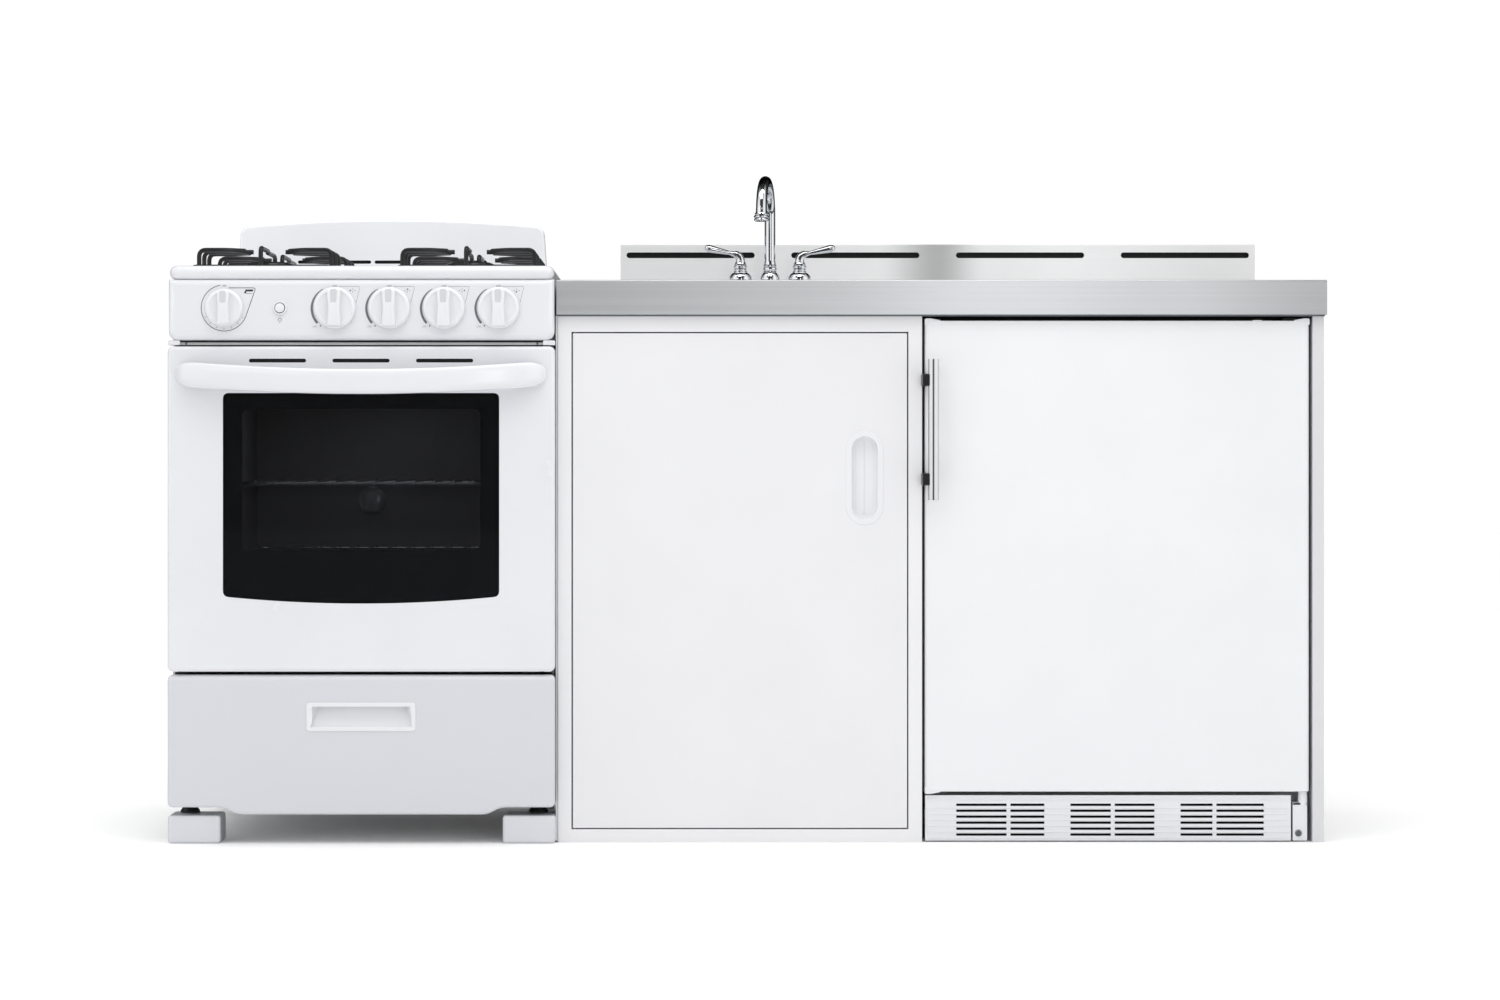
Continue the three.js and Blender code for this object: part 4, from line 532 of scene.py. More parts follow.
def paint_reflection_bands(look, stops, x0, x1):
    """Paints reflection onto a metal: light and dark bands along X multiply its colour, as a long sheet
    mirrors a room.
    """
    tree = look.node_tree
    where, apart = tree.nodes.new("ShaderNodeTexCoord"), tree.nodes.new("ShaderNodeSeparateXYZ")
    share, ramp = tree.nodes.new("ShaderNodeMapRange"), tree.nodes.new("ShaderNodeValToRGB")
    share.inputs["From Min"].default_value, share.inputs["From Max"].default_value = x0 * MM, x1 * MM
    ramp.color_ramp.interpolation = "EASE"
    for i, (spot, tone) in enumerate(stops):
        stop = ramp.color_ramp.elements[i] if i < 2 else ramp.color_ramp.elements.new(spot)
        stop.position = spot
        stop.color = (tone, tone, tone, 1)
    reflection_paint = tree.nodes.new("ShaderNodeMix")
    reflection_paint.data_type, reflection_paint.blend_type = "RGBA", "MULTIPLY"
    reflection_paint.inputs["Factor"].default_value = 1
    colour = tree.nodes["Principled BSDF"].inputs["Base Color"]
    tree.links.new(where.outputs["Object"], apart.inputs[0])
    tree.links.new(apart.outputs["X"], share.inputs["Value"])
    tree.links.new(share.outputs["Result"], ramp.inputs["Fac"])
    tree.links.new(colour.links[0].from_socket, reflection_paint.inputs["A"])
    tree.links.new(ramp.outputs["Color"], reflection_paint.inputs["B"])
    tree.links.new(reflection_paint.outputs["Result"], colour)


# painted reflections: light and dark bands multiply the colour of the worktop steel along its length, of the
# fridge bar across its width (two bright stripes between dark edges and a dark middle), and of the splash,
# which is dark near its middle
paint_reflection_bands(STEEL, ((0, 0.74), (1, 0.72), (0.3, 0.82), (0.57, 1.0), (0.8, 0.9)), -302, 914.5)
paint_reflection_bands(BAR_METAL, ((0, 0.12), (1, 0.25), (0.14, 0.9), (0.34, 0.95), (0.42, 0.1), (0.5, 0.1), (0.58, 1),
                        (0.88, 0.9)), 283.2, 299.8)
paint_reflection_bands(STEEL_SPLASH, ((0, 0.92), (1, 0.9), (0.3, 1.0), (0.4, 0.96), (0.5, 0.5), (0.58, 0.94),
                           (0.7, 1.0)), -211, 899)


def fit(piece, body, slot, look, *nodes):
    """Gives a piece its finish, the body it moves with, and the CAD nodes that it stands for."""
    apply_modifier(piece, "WEIGHTED_NORMAL", mode="FACE_AREA", weight=50, keep_sharp=True)
    piece.data.materials.clear()
    piece.data.materials.append(look)
    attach(piece, body)
    if nodes:
        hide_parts(*nodes)
    return piece


def dress(look, *nodes):
    """Gives CAD nodes that stay as they are a finish of their own."""
    for node in nodes:
        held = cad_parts[node].data.materials
        held.clear()
        held.append(look)


# ================================================================ range: hob
RX = RANGE_MID
HOB_HALF, HOB_NEAR, HOB_FAR, HOB_TOP = 303.5, FRONT - 10, BACK - 32, 911
DISH_INSET, DISH_FLOOR = 20, 902
hob = slab("hob", (RX - HOB_HALF, RX + HOB_HALF), (HOB_NEAR, HOB_FAR), (COUNTER_TOP, HOB_TOP),
           corner=16, along="Z", steps=8, edge=10.4, rings=7)
dish = slab("dish", (RX - HOB_HALF + DISH_INSET, RX + HOB_HALF - DISH_INSET),
            (HOB_NEAR + DISH_INSET, HOB_FAR - DISH_INSET), (DISH_FLOOR, HOB_TOP + 9),
            corner=20, along="Z", steps=8)
carve(hob, dish)
soften(hob, 4, 4)
wells = []
for x in (-BURNER_SIDE, BURNER_SIDE):
    for y in (BURNER_NEAR, BURNER_FAR):
        wells.append(disc("well", (RX + x, FRONT + y, 0), 76, 900.6, 915, steps=72))
        wells.append(disc("throat", (RX + x, FRONT + y, 0), 27, 880, 915, steps=40))
carve(hob, *wells)
soften(hob, 1.2, 2, 50)
fit(smooth(hob, 40), "frame", "white_enamel", ENAMEL, "cooktop_pan")

burner_spots = {
    "front_left": (-BURNER_SIDE, BURNER_NEAR), "front_right": (BURNER_SIDE, BURNER_NEAR),
    "rear_left": (-BURNER_SIDE, BURNER_FAR), "rear_right": (BURNER_SIDE, BURNER_FAR),
}
for place_name, (x, y) in burner_spots.items():
    centre = (RX + x, FRONT + y, 0)
    bowl = turned(f"burner_bowl_{place_name}", [
        (0, 884), (22, 884), (23.5, 886), (23.5, 900.5), (40, 901), (42, 902.5), (41, 904), (34, 906),
        (33, 908), (33, 914), (30, 915.5), (0, 915.5)], centre, steps=64)
    ports = []
    for i in range(24):
        turn = 2 * math.pi * (i + 0.5) / 24
        port = block("port", (31, 36), (-0.9, 0.9), (909, 912.5))
        port.rotation_euler = (0, 0, turn)
        place(port)
        ports.append(port)
    teeth = join("ports", ports)
    teeth.location = point(*centre)
    carve(bowl, place(teeth))
    fit(smooth(bowl, 40), "frame", "black_enamel", BURNER_ALLOY, f"burner_{place_name}")
    cap = turned(f"burner_cap_{place_name}", [
        (0, 915.4), (36, 915.4), (38, 916.6), (38.4, 919), (37, 921.6), (32, 923.6), (26, 924.2), (25, 923.6),
        (12, 924.4), (0, 925)], centre, steps=64)
    fit(cap, "frame", "black_enamel", CAP_ENAMEL)
    igniter = turned(f"igniter_{place_name}", [
        (0, 902), (3.2, 902), (3.2, 909), (2.2, 910), (1.2, 913), (0, 913.4)],
        (centre[0] + 37, centre[1] - 24, 0), steps=20)
    fit(igniter, "frame", "white_enamel", PLASTIC)


# ================================================================ range: grates
GRATE_HALF, GRATE_REST, GRATE_TOP, GRATE_BEND = 106, 911.0, 941.0, 11
RAIL_R, FINGER_R, PAD_R = 3.5, 3.7, 3.4


def grate(side):
    """A rod frame on four pads, with three fingers from each side of a burner and one along the middle."""
    mid = RX + side * BURNER_SIDE
    x0, x1 = mid - GRATE_HALF, mid + GRATE_HALF
    low, top = GRATE_REST, GRATE_TOP
    near, far, half = FRONT + 30, FRONT + 540, FRONT + 285
    rods = []
    ring = bent([(x0, near + 20, low), (x0, near, low), (x1, near, low), (x1, far, low), (x0, far, low),
                 (x0, near + 20, low)], 12)
    rods.append(wire("rail", ring[:-1], RAIL_R, closed=True))
    rods.append(wire("rail", [(x0, half, low), (x1, half, low)], RAIL_R))
    for y in (FRONT + BURNER_NEAR, FRONT + BURNER_FAR):
        for x, way in ((x0, 1), (x1, -1)):
            path = bent([(x, y, low), (x, y, top), (x + way * 80, y, top)], GRATE_BEND)
            rods.append(wire("finger", path, FINGER_R))
            for turn in (-1, 1):
                start, tip = y + turn * 62, y + turn * 34
                path = bent([(x, start, low), (x, start, top), (x + way * 44, start, top),
                             (x + way * 70, tip, top)], GRATE_BEND)
                rods.append(wire("finger", path, FINGER_R))
    spans = ((near, FRONT + 129, 0), (half, FRONT + 181, -6), (half, FRONT + 389, 6), (far, FRONT + 441, 0))
    for start, tip, shift in spans:
        x = mid + shift
        path = bent([(x, start, low), (x, start, top), (x, tip, top)], GRATE_BEND)
        rods.append(wire("finger", path, FINGER_R))
    for x in (x0 + 12, x1 - 12):
        for y in (near, far):
            rods.append(disc("pad", (x, y, 0), PAD_R, DISH_FLOOR + 0.35, GRATE_REST - 0.5, steps=16))
    name = "grate_frame_left" if side < 0 else "grate_frame_right"
    return join(name, rods)


fit(grate(-1), "grate_left", "black_enamel", IRON, "grate_left")
fit(grate(1), "grate_right", "black_enamel", IRON, "grate_right")

# ================================================================ range: backguard
GUARD_FOOT, GUARD_SHOULDER, SHOULDER_Z, GUARD_RISE = 272, 264.5, 1010.5, 12.6
arch = [(RX, 0, COUNTER_TOP), (RX + GUARD_FOOT, 0, COUNTER_TOP), (RX + GUARD_SHOULDER, 0, SHOULDER_Z)]
for i in range(1, 14):
    u = 1 - i / 7
    arch.append((RX + GUARD_SHOULDER * u, 0, SHOULDER_Z + GUARD_RISE * (1 - u * u)))
arch += [(RX - GUARD_SHOULDER, 0, SHOULDER_Z), (RX - GUARD_FOOT, 0, COUNTER_TOP), (RX, 0, COUNTER_TOP)]
arch = flattened(bent(arch, 17, 7)[:-1])
guard = outline("backguard_skin", arch, (BACK - 30, BACK))
soften(guard, 5, 5, 35)
vents = []
for a, b in ((-31, 31), (-165, -37), (37, 165)):
    vents.append(slab("vent", (RX + a, RX + b), (BACK - 34, BACK - 22), (945.4, 951.2), corner=2.8, steps=4))
carve(guard, *vents)
fit(smooth(guard, 35), "frame", "white_enamel", ENAMEL_PAINTED_LIGHT, "backguard")
# painted shade: a black sheet behind the backguard vents
guard_vent_shade = block("backguard_vent_painted_shade", (RX - 168, RX + 168), (BACK - 22.2, BACK - 21), (938, 958))
fit(guard_vent_shade, "frame", "black_plastic", PAINTED_SHADE_BLACK)

# ================================================================ range: control panel
panel = slab(
    "panel_skin", (RX - 304, RX + 304), (PANEL_FACE, FRONT + 33), (793, 889), corner=14, along="Y", steps=8,
    only=lambda m: m.z < 800)
pick_faces(panel, faces_front)
round_picked(9, 7)
hollow = block("hollow", (RX - 298, RX + 298), (PANEL_FACE + 3, FRONT + 40), (798, 886))
holes = []
for x in (DIAL_SPOT, *KNOB_SPOTS):
    holes.append(disc("hole", (RX + x, 0, KNOB_Z), 5.2, PANEL_FACE - 5, FRONT, "Y", 24))
holes.append(disc("hole", (RX + BUTTON_SPOT, 0, KNOB_Z), 8.2, PANEL_FACE - 5, FRONT, "Y", 40))
carve(panel, hollow, *holes)
fit(smooth(panel, 40), "frame", "white_enamel", ENAMEL, "control_panel")
# painted shadow: a black strip in the gap under the panel
panel_gap_shade = slab("panel_gap_painted_shadow", (RX - 286, RX + 286), (FRONT - 5, FRONT - 3), (790.6, 792.9), edge=0.3, rings=2)
fit(panel_gap_shade, "frame", "black_plastic", PAINTED_SHADE_BLACK)
ring = turned("button_ring", [
    (8.3, -1), (11.2, -1), (11.4, 1.6), (10.8, 3.2), (9.6, 3.6), (8.5, 2.6), (8.3, -1)],
    (RX + BUTTON_SPOT, PANEL_FACE, KNOB_Z), "Y", 48)
fit(ring, "frame", "white_enamel", PLASTIC)

button = turned("light_button", [
    (0, -13), (9.3, -13), (9.3, -10.6), (7.4, -10.4), (7.4, 3.6), (6.8, 4.8), (4, 5.6), (0, 5.9)],
    (RX + BUTTON_SPOT, PANEL_FACE, KNOB_Z), "Y", 48)
fit(button, "oven_light_button", "white_plastic", PLASTIC, "oven_light_button")


def knob(name, x, radius, bar):
    """A round skirt with a waisted grip bar across it and a small grey pointer near its top."""
    mid, back = RX + x, PANEL_FACE - 0.5
    skirt = turned("skirt", [
        (0, 0), (radius - 0.6, 0), (radius, 1), (radius, 4.5), (radius - 1, 7.4), (radius - 3.2, 9),
        (radius - 5, 9.2),
        (radius - 6.4, 8.2), (radius - 9, 7.2), (0, 7)], (mid, back, KNOB_Z), "Y", 72)
    tall = radius - 2.5
    grip = slab("grip", (mid - bar / 2, mid + bar / 2), (back - 23.6, back - 4),
                (KNOB_Z - tall, KNOB_Z + tall))
    for station in (-0.55, 0, 0.55):
        edit(grip)
        bpy.ops.object.mode_set(mode="EDIT")
        bpy.ops.mesh.select_all(action="SELECT")
        bpy.ops.mesh.bisect(plane_co=point(mid, 0, KNOB_Z + tall * station), plane_no=(0, 0, 1))
        done()
    pinches = ((0, 0.80, 0), (0.55, 0.93, 0.8), (1, 1.04, 2.6))
    for share, wide, back_off in pinches:
        pick_points(grip, lambda c: c.y / MM < back - 15 and abs(abs(c.z / MM - KNOB_Z) / tall - share) < 0.1)
        bpy.ops.transform.resize(value=(wide, 1, 0.95), center_override=point(mid, 0, KNOB_Z))
        bpy.ops.transform.translate(value=(0, back_off * MM, 0))
        done()
    soften(grip, 2.6, 4, 25)
    combine(grip, disc("limit", (mid, 0, KNOB_Z), radius - 1.6, back - 26, back - 2, "Y", 72), "INTERSECT")
    body = join(name, [skirt, smooth(grip, 40)])
    pointer = slab("pointer", (mid - 5, mid + 5), (back - 23.2, back - 17),
                   (KNOB_Z + tall * 0.24, KNOB_Z + tall * 0.95),
                   corner=2.4, steps=5, edge=0.5, rings=2)
    return body, pointer


for i, x in enumerate(KNOB_SPOTS):
    body, pointer = knob(f"hob_knob_{i + 1}", x, 33, 21)
    fit(body, f"burner_knob_{i + 1}", "white_plastic", PLASTIC, f"burner_knob_{i + 1}")
    fit(named(pointer, f"hob_knob_pointer_{i + 1}"), f"burner_knob_{i + 1}", "grey_plastic", PLASTIC_GREY)
body, pointer = knob("oven_dial", DIAL_SPOT, 30, 19)
fit(body, "oven_knob", "white_plastic", PLASTIC, "oven_knob")
fit(named(pointer, "oven_dial_pointer"), "oven_knob", "grey_plastic", PLASTIC_GREY)


# ---------------------------------------------------------------- printing on the panel
INK = PANEL_FACE - 0.1


def ink_shape(name, points):
    """A closed printed shape on the panel."""
    return outline(name, points, (INK - 0.1, INK + 0.2))


def ink_line(name, points, thick):
    """An open printed line on the panel, flattened."""
    flat = ink_stroke(name, points, thick / 2)
    active(flat)
    bpy.ops.transform.resize(value=(1, 0.2, 1), center_override=point(0, INK, 0))
    return place(flat)


def ink_stroke(name, points, radius):
    return wire(name, [(u, INK, v) for u, v in points], radius, fine=1)


def ink_dot(x, z, radius):
    return disc("dot", (x, 0, z), radius, PANEL_FACE - 0.2, PANEL_FACE + 0.2, "Y", 16)


def round_line(centre, radius, angles):
    """Points at the given angles, in degrees, around a centre."""
    turns = [math.radians(a) for a in angles]
    return [(centre[0] + radius * math.cos(t), centre[1] + radius * math.sin(t)) for t in turns]


def sweep(centre, inner, outer, begin, end, steps=28):
    """An arc band whose width grows from one end to the other."""
    cx, cz = centre
    rim, core = [], []
    for i in range(steps + 1):
        t = i / steps
        turn = math.radians(begin + (end - begin) * t)
        r = inner + 0.6 + (outer - inner - 0.6) * min(1, 1.7 * t) ** 0.7
        rim.append((cx + r * math.cos(turn), cz + r * math.sin(turn)))
        core.append((cx + inner * math.cos(turn), cz + inner * math.sin(turn)))
    return rim + core[::-1]


for i, x in enumerate(KNOB_SPOTS):
    mid = RX + x
    marks = [ink_shape("arc", sweep((mid, KNOB_Z), 34.6, 38.2, 121, 221))]
    corners = [(mid + 6, 0, KNOB_Z + 34), (mid + 40, 0, KNOB_Z + 34), (mid + 33.6, 0, KNOB_Z + 8.5)]
    leader = bent(corners, 3, 4)
    marks.append(ink_line("leader", flattened(leader), 0.5))
    for k, (u, v) in enumerate(((24.5, 27.5), (28.5, 29.5), (32, 27.5), (28, 25.5))):
        marks.append(ink_dot(mid + u, KNOB_Z + v, 1.25 if k == i else 0.7))
    marks.append(ink_dot(mid - 22.6, KNOB_Z - 28.2, 1.2))
    marks.append(words("off", "OFF", 4.2, (mid, KNOB_Z + 34.4), PANEL_FACE - 0.05))
    marks.append(words("low", "LITE", 3.4, (mid - 31.5, KNOB_Z - 29.5), PANEL_FACE - 0.05))
    fit(join(f"hob_marks_{i + 1}", marks), "frame", "grey_plastic", PRINT_GREY)

ox = RX + DIAL_SPOT
dial_line = [Vector((u, 0, v)) for u, v in round_line((ox, KNOB_Z), 36.4, range(100, 344, 6))]
dial_line += bent([dial_line[-1], (ox + 49.5, 0, KNOB_Z + 31.6), (ox + 7, 0, KNOB_Z + 31.6)], 4, 4)
dial_marks = [ink_line("loop", flattened(dial_line), 1.1)]
for k in range(7):
    inner, outer = (round_line((ox, KNOB_Z), r, [206 + k * 21])[0] for r in (31.6, 34.4))
    dial_marks.append(ink_stroke("tick", [inner, outer], 0.25))
dial_marks.append(words("off", "OFF", 3.6, (ox, KNOB_Z + 34.8), PANEL_FACE - 0.05))
grill = [(31, 23), (33.5, 29), (46, 29), (44.6, 26), (35, 26), (34, 23)]
grill = [(ox + u, KNOB_Z + v) for u, v in grill]
dial_marks.append(outline("grill", grill, (PANEL_FACE - 0.2, PANEL_FACE + 0.2)))
dial_marks.append(ink_stroke("grill_base", [(ox + 34, KNOB_Z + 22.6), (ox + 43.5, KNOB_Z + 22.6)], 0.3))
bulb = round_line((RX + BUTTON_SPOT, KNOB_Z - 18.5), 2.6, range(-50, 231, 20))
dial_marks.append(ink_stroke("bulb", bulb, 0.28))
foot_line = [(RX + BUTTON_SPOT + u, KNOB_Z - 22) for u in (-1.2, 1.2)]
dial_marks.append(ink_stroke("bulb_foot", foot_line, 0.4))
fit(join("oven_marks", dial_marks), "frame", "grey_plastic", PRINT_DARK)


# ================================================================ range: oven door
DOOR_LOW, DOOR_HIGH, DOOR_BACK = 271.0, 783.5, FRONT + 12
WINDOW_HALF, WINDOW_LOW, WINDOW_TOP, WINDOW_SAG = 217.5, 389.5, 710.0, 11.0


def window_shape(grow, corner):
    """The oven window's outline: square at the top, bowed along its lower edge."""
    half, top = WINDOW_HALF + grow, WINDOW_TOP + grow
    bow = []
    for i in range(1, 16):
        u = 1 - i / 8
        bow.append((RX + half * u, 0, WINDOW_LOW - grow - WINDOW_SAG * (1 - u * u)))
    sides = [(RX, 0, top), (RX + half, 0, top), (RX + half, 0, WINDOW_LOW - grow)]
    back = [(RX - half, 0, WINDOW_LOW - grow), (RX - half, 0, top), (RX, 0, top)]
    return flattened(bent(sides + bow + back, corner, 4)[:-1])


skin = slab("oven_door_skin", (RX - 305, RX + 305), (DOOR_FACE, DOOR_BACK), (DOOR_LOW, DOOR_HIGH),
            corner=9, along="Y", steps=6)
pick_faces(skin, faces_front)
round_picked(6, 5)
cuts = [block("hollow", (RX - 300, RX + 300), (DOOR_FACE + 2.5, DOOR_BACK + 5),
              (DOOR_LOW + 5, DOOR_HIGH - 5))]
cuts.append(outline("window", window_shape(0, 9), (DOOR_FACE - 5, DOOR_FACE + 5)))
for x in (-131.5, 0, 131.5):
    cuts.append(slab("vent", (RX + x - 45, RX + x + 45), (DOOR_FACE - 5, DOOR_FACE + 5), (758, 764),
                     corner=2.9, steps=5))
for x in (-285, 285):
    cuts.append(block("ear_slot", (RX + x - 2.5, RX + x + 2.5), (FRONT - 12, DOOR_BACK + 5), (260, 293)))
carve(skin, *cuts)
fit(smooth(skin, 35), "oven_door", "white_enamel", ENAMEL, "oven_door_panel")
# painted shade: a black sheet behind the door's vent slots
door_vent_shade = block("oven_vent_painted_shade", (RX - 185, RX + 185), (DOOR_FACE + 2.7, DOOR_FACE + 3.6), (752, 770))
fit(door_vent_shade, "oven_door", "black_plastic", PAINTED_SHADE_BLACK)

pane = slab("window_glass", (RX - 226, RX + 226), (DOOR_FACE + 2.5, DOOR_FACE + 6.5), (369.5, 719),
            corner=6, along="Y",
            edge=0.5, rings=2)
fit(pane, "oven_door", "black_glass", GLASS, "oven_door_glass")
frit = slab("window_border", (RX - 225, RX + 225), (DOOR_FACE + 6.7, DOOR_FACE + 7.3), (370, 718),
            corner=6, along="Y")
clear_view = slab("view", (RX - 187.5, RX + 187.5), (DOOR_FACE, FRONT), (463, 685), corner=10, along="Y")
carve(frit, clear_view)
fit(frit, "oven_door", "black_enamel", FRIT)

seal = wire("oven_door_seal", bent([
    (RX - 233, FRONT + 28.9, 530), (RX - 233, FRONT + 28.9, 746), (RX + 233, FRONT + 28.9, 746),
    (RX + 233, FRONT + 28.9, 314), (RX - 233, FRONT + 28.9, 314), (RX - 233, FRONT + 28.9, 529)], 24), 1.9,
    closed=True)
fit(seal, "oven_door", "gasket_rubber", RUBBER)
dress(OVEN, "oven_door_liner")

# the handle: a bowed bar, deepest in the middle, whose ends turn back into the door
HANDLE_HALF, HANDLE_END_Z, HANDLE_DROP = 292.5, 740.5, 13.0
HANDLE_RUN = 80
run, swell = [], []
for i in range(HANDLE_RUN + 1):
    u = -1 + 2 * i / HANDLE_RUN
    bow = 1 - u * u
    lead = max(0, 1 - abs(u) ** 9) ** 0.5
    run.append((RX + u * (HANDLE_HALF - 5), DOOR_FACE - lead * (17 + 22 * bow),
                HANDLE_END_Z - HANDLE_DROP * bow))
    swell.append(1 - 0.42 * max(0, (abs(u) - 0.9) / 0.1) ** 2.6)
bpy.ops.object.select_all(action="DESELECT")
shape = bpy.data.curves.new("handle_section", "CURVE")
shape.dimensions = "2D"
loop = shape.splines.new("POLY")
loop.points.add(39)
loop.use_cyclic_u = True
for i in range(40):
    turn = 2 * math.pi * i / 40
    flat = [math.copysign(abs(f(turn)) ** 0.62, f(turn)) for f in (math.cos, math.sin)]
    loop.points[i].co = (8.6 * MM * flat[0], 19.7 * MM * flat[1], 0, 1)
section = bpy.data.objects.new("handle_section", shape)
bpy.context.scene.collection.objects.link(section)
bar = wire("oven_handle_bar", run, 1, swell=swell, section=section)
bpy.data.objects.remove(section)
fit(bar, "oven_door", "white_enamel", ENAMEL, "oven_door_handle")

for side in (-1, 1):
    head = turned(f"rail_screw_{'left' if side < 0 else 'right'}", [
        (0, -2), (1.9, -2), (1.9, 0.3), (1.5, 0.9), (0.6, 1.1), (0.4, 0.5), (0, 0.5)],
        (RX + side * 277, FRONT, 788), "Y", 24)
    fit(head, "frame", "zinc", ZINC)

for side in (-1, 1):
    x0, x1 = sorted((RX + side * 305, RX + side * 286))
    lug = slab(f"rail_end_{'left' if side < 0 else 'right'}", (x0, x1), (FRONT - 9, FRONT + 14),
               (785.4, 793), edge=1.6)
    fit(lug, "frame", "white_enamel", ENAMEL)

# ================================================================ range: oven inside
dress(OVEN, "oven_liner")
dress(FRIDGE_CASE, "range_chassis")
dress(BURNER_ALLOY, "oven_burner", "gas_manifold")
RACK_HALF, RACK_NEAR, RACK_FAR = 219.0, FRONT + 52, FRONT + 480
RACK_WIRES, FIRST_WIRE, WIRE_PITCH = 12, -174.3, 31.7


def rack(name, height):
    """A rim of thick wire, a brace under its middle, and thin wires bent down over its front and back."""
    x0, x1, middle = RX - RACK_HALF, RX + RACK_HALF, (RACK_NEAR + RACK_FAR) / 2
    ring = bent([(RX, RACK_NEAR, height), (x1, RACK_NEAR, height), (x1, RACK_FAR, height),
                 (x0, RACK_FAR, height), (x0, RACK_NEAR, height), (RX - 1, RACK_NEAR, height)], 20)
    wires = [wire("rim", ring, 2.4, closed=True)]
    for i in range(RACK_WIRES):
        x = RX + FIRST_WIRE + i * WIRE_PITCH
        path = bent([(x, RACK_NEAR - 4, height - 1.5), (x, RACK_NEAR - 2.4, height + 4),
                     (x, RACK_FAR + 2.4, height + 4), (x, RACK_FAR + 4, height - 1.5)], 1.5, 3)
        wires.append(wire("wire", path, 1.5, fine=2))
    wires.append(wire("brace", [(x0, middle, height - 1.6), (x1, middle, height - 1.6)], 1.8))
    return join(name, wires)


fit(rack("rack_lower", 453), "frame", "chrome", WIRE_CHROME, "oven_rack_lower")
fit(rack("rack_upper", 566), "frame", "chrome", WIRE_CHROME, "oven_rack_upper")
lamp = turned("oven_lamp", [(0, 0), (24, 0), (24, 3), (18, 5), (18, 12), (14, 19), (0, 22)],
              (RX - 25, FRONT + 502.5, 534), "Y", 40)
fit(lamp, "frame", "clear_plastic", CLEAR)

# ================================================================ range: drawer
DRAWER_TOP, DRAWER_LOW, DRAWER_MID_LOW, DRAWER_BACK = 266.0, 57.4, 46.0, FRONT + 8
apron = bent([(RX, 0, DRAWER_TOP), (RX + 305, 0, DRAWER_TOP), (RX + 305, 0, DRAWER_LOW),
              (RX + 219, 0, DRAWER_LOW),
              (RX + 199, 0, DRAWER_MID_LOW), (RX - 196, 0, DRAWER_MID_LOW), (RX - 218, 0, DRAWER_LOW),
              (RX - 305, 0, DRAWER_LOW), (RX - 305, 0, DRAWER_TOP), (RX, 0, DRAWER_TOP)], 9, 4)
drawer = outline("drawer_skin", flattened(apron[:-1]), (DOOR_FACE, DRAWER_BACK))
pick_faces(drawer, faces_front)
round_picked(5, 5)
brow = block("brow", (RX - 310, RX + 310), (DOOR_FACE - 5, DOOR_FACE + 11), (255, 270))
carve(brow, disc("brow_round", (0, DOOR_FACE + 11, 255), 11, RX - 315, RX + 315, "X", 64))
carve(drawer, brow, block("cup_hole", (RX - 82.5, RX + 82.5), (DOOR_FACE - 5, DRAWER_BACK + 5), (180, 219.5)))
fit(smooth(drawer, 35), "drawer", "white_enamel", ENAMEL_PAINTED_SHADE, "drawer_front")
flange = slab("flange", (RX - 86, RX + 86), (DOOR_FACE - 1.5, DOOR_FACE), (178, 223),
              corner=5, along="Y", edge=0.7)
cup = slab("cup", (RX - 82, RX + 82), (DOOR_FACE - 0.6, DRAWER_BACK - 0.5), (180.5, 219), corner=3, along="Y")
combine(flange, cup, "UNION")
scoop = block("scoop", (RX - 79.5, RX + 79.5), (DOOR_FACE - 8, DRAWER_BACK - 2.5), (183, 216.5))
pick_points(scoop, lambda c: c.y > (DRAWER_BACK - 5) * MM and c.z < 0.19)
bpy.ops.transform.translate(value=(0, -0.014, 0.002))
done()
pick_points(scoop, lambda c: c.y > (DRAWER_BACK - 5) * MM and c.z > 0.2)
bpy.ops.transform.resize(value=(0.88, 1, 1), center_override=point(RX, 0, 0))
done()
carve(flange, scoop)
soften(flange, 0.5, 2, 50)
fit(named(smooth(flange, 35), "drawer_pull_cup"), "drawer", "white_plastic", PLASTIC, "drawer_pull")
dress(ZINC, "drawer_tray")

# ================================================================ range: feet
FOOT_MID, FOOT_HALF, FOOT_HIGH = 264, 41.5, 44
for place_name, side in (("left", -1), ("right", 1)):
    mid = RX + side * FOOT_MID
    foot = slab(f"foot_{place_name}", (mid - FOOT_HALF, mid + FOOT_HALF), (FRONT - 8, FRONT + 67),
                (0, FOOT_HIGH), corner=5, along="Z", steps=5, edge=5, rings=5)
    fit(foot, "frame", "white_enamel", FOOT_WHITE, f"range_foot_{place_name}")
    screw = turned(f"foot_screw_{place_name}", [
        (0, 44.2), (15.5, 44.2), (15.5, 47), (12, 52), (11.5, 56.8), (0, 56.8)],
        (mid + side * 13, FRONT + 48, 0), steps=40)
    fit(screw, "frame", "zinc", PLASTIC_BLACK)
dress(PLASTIC_GREY, "range_rear_skid")

# ================================================================ sink worktop
TOP_LEFT, RIGHT, APRON_LOW = -302.0, 914.5, 834.0
SINK_X, BOWL_HALF, BOWL_NEAR, BOWL_FAR, BOWL_FLOOR = 48.0, 190.0, FRONT + 120, FRONT + 460, 739.0
DRAIN_Y = (BOWL_NEAR + BOWL_FAR) / 2
top = block("worktop_sheet", (TOP_LEFT, RIGHT), (FRONT, BACK), (APRON_LOW, COUNTER_TOP))
pick_edges(top, lambda a,
           b: a.y < 0 and b.y < 0 and (a.z + b.z) / 2 > 0.885 and abs((b - a).normalized().x) > 0.99)
round_picked(3, 5)
under = block("under", (TOP_LEFT + 1.6, RIGHT - 1.6), (FRONT + 1.6, BACK + 5),
              (APRON_LOW + 1.6, COUNTER_TOP - 1.6))
mouth = block("mouth", (TOP_LEFT + 22, RIGHT - 22), (FRONT + 22, BACK + 5), (APRON_LOW - 5, APRON_LOW + 3))
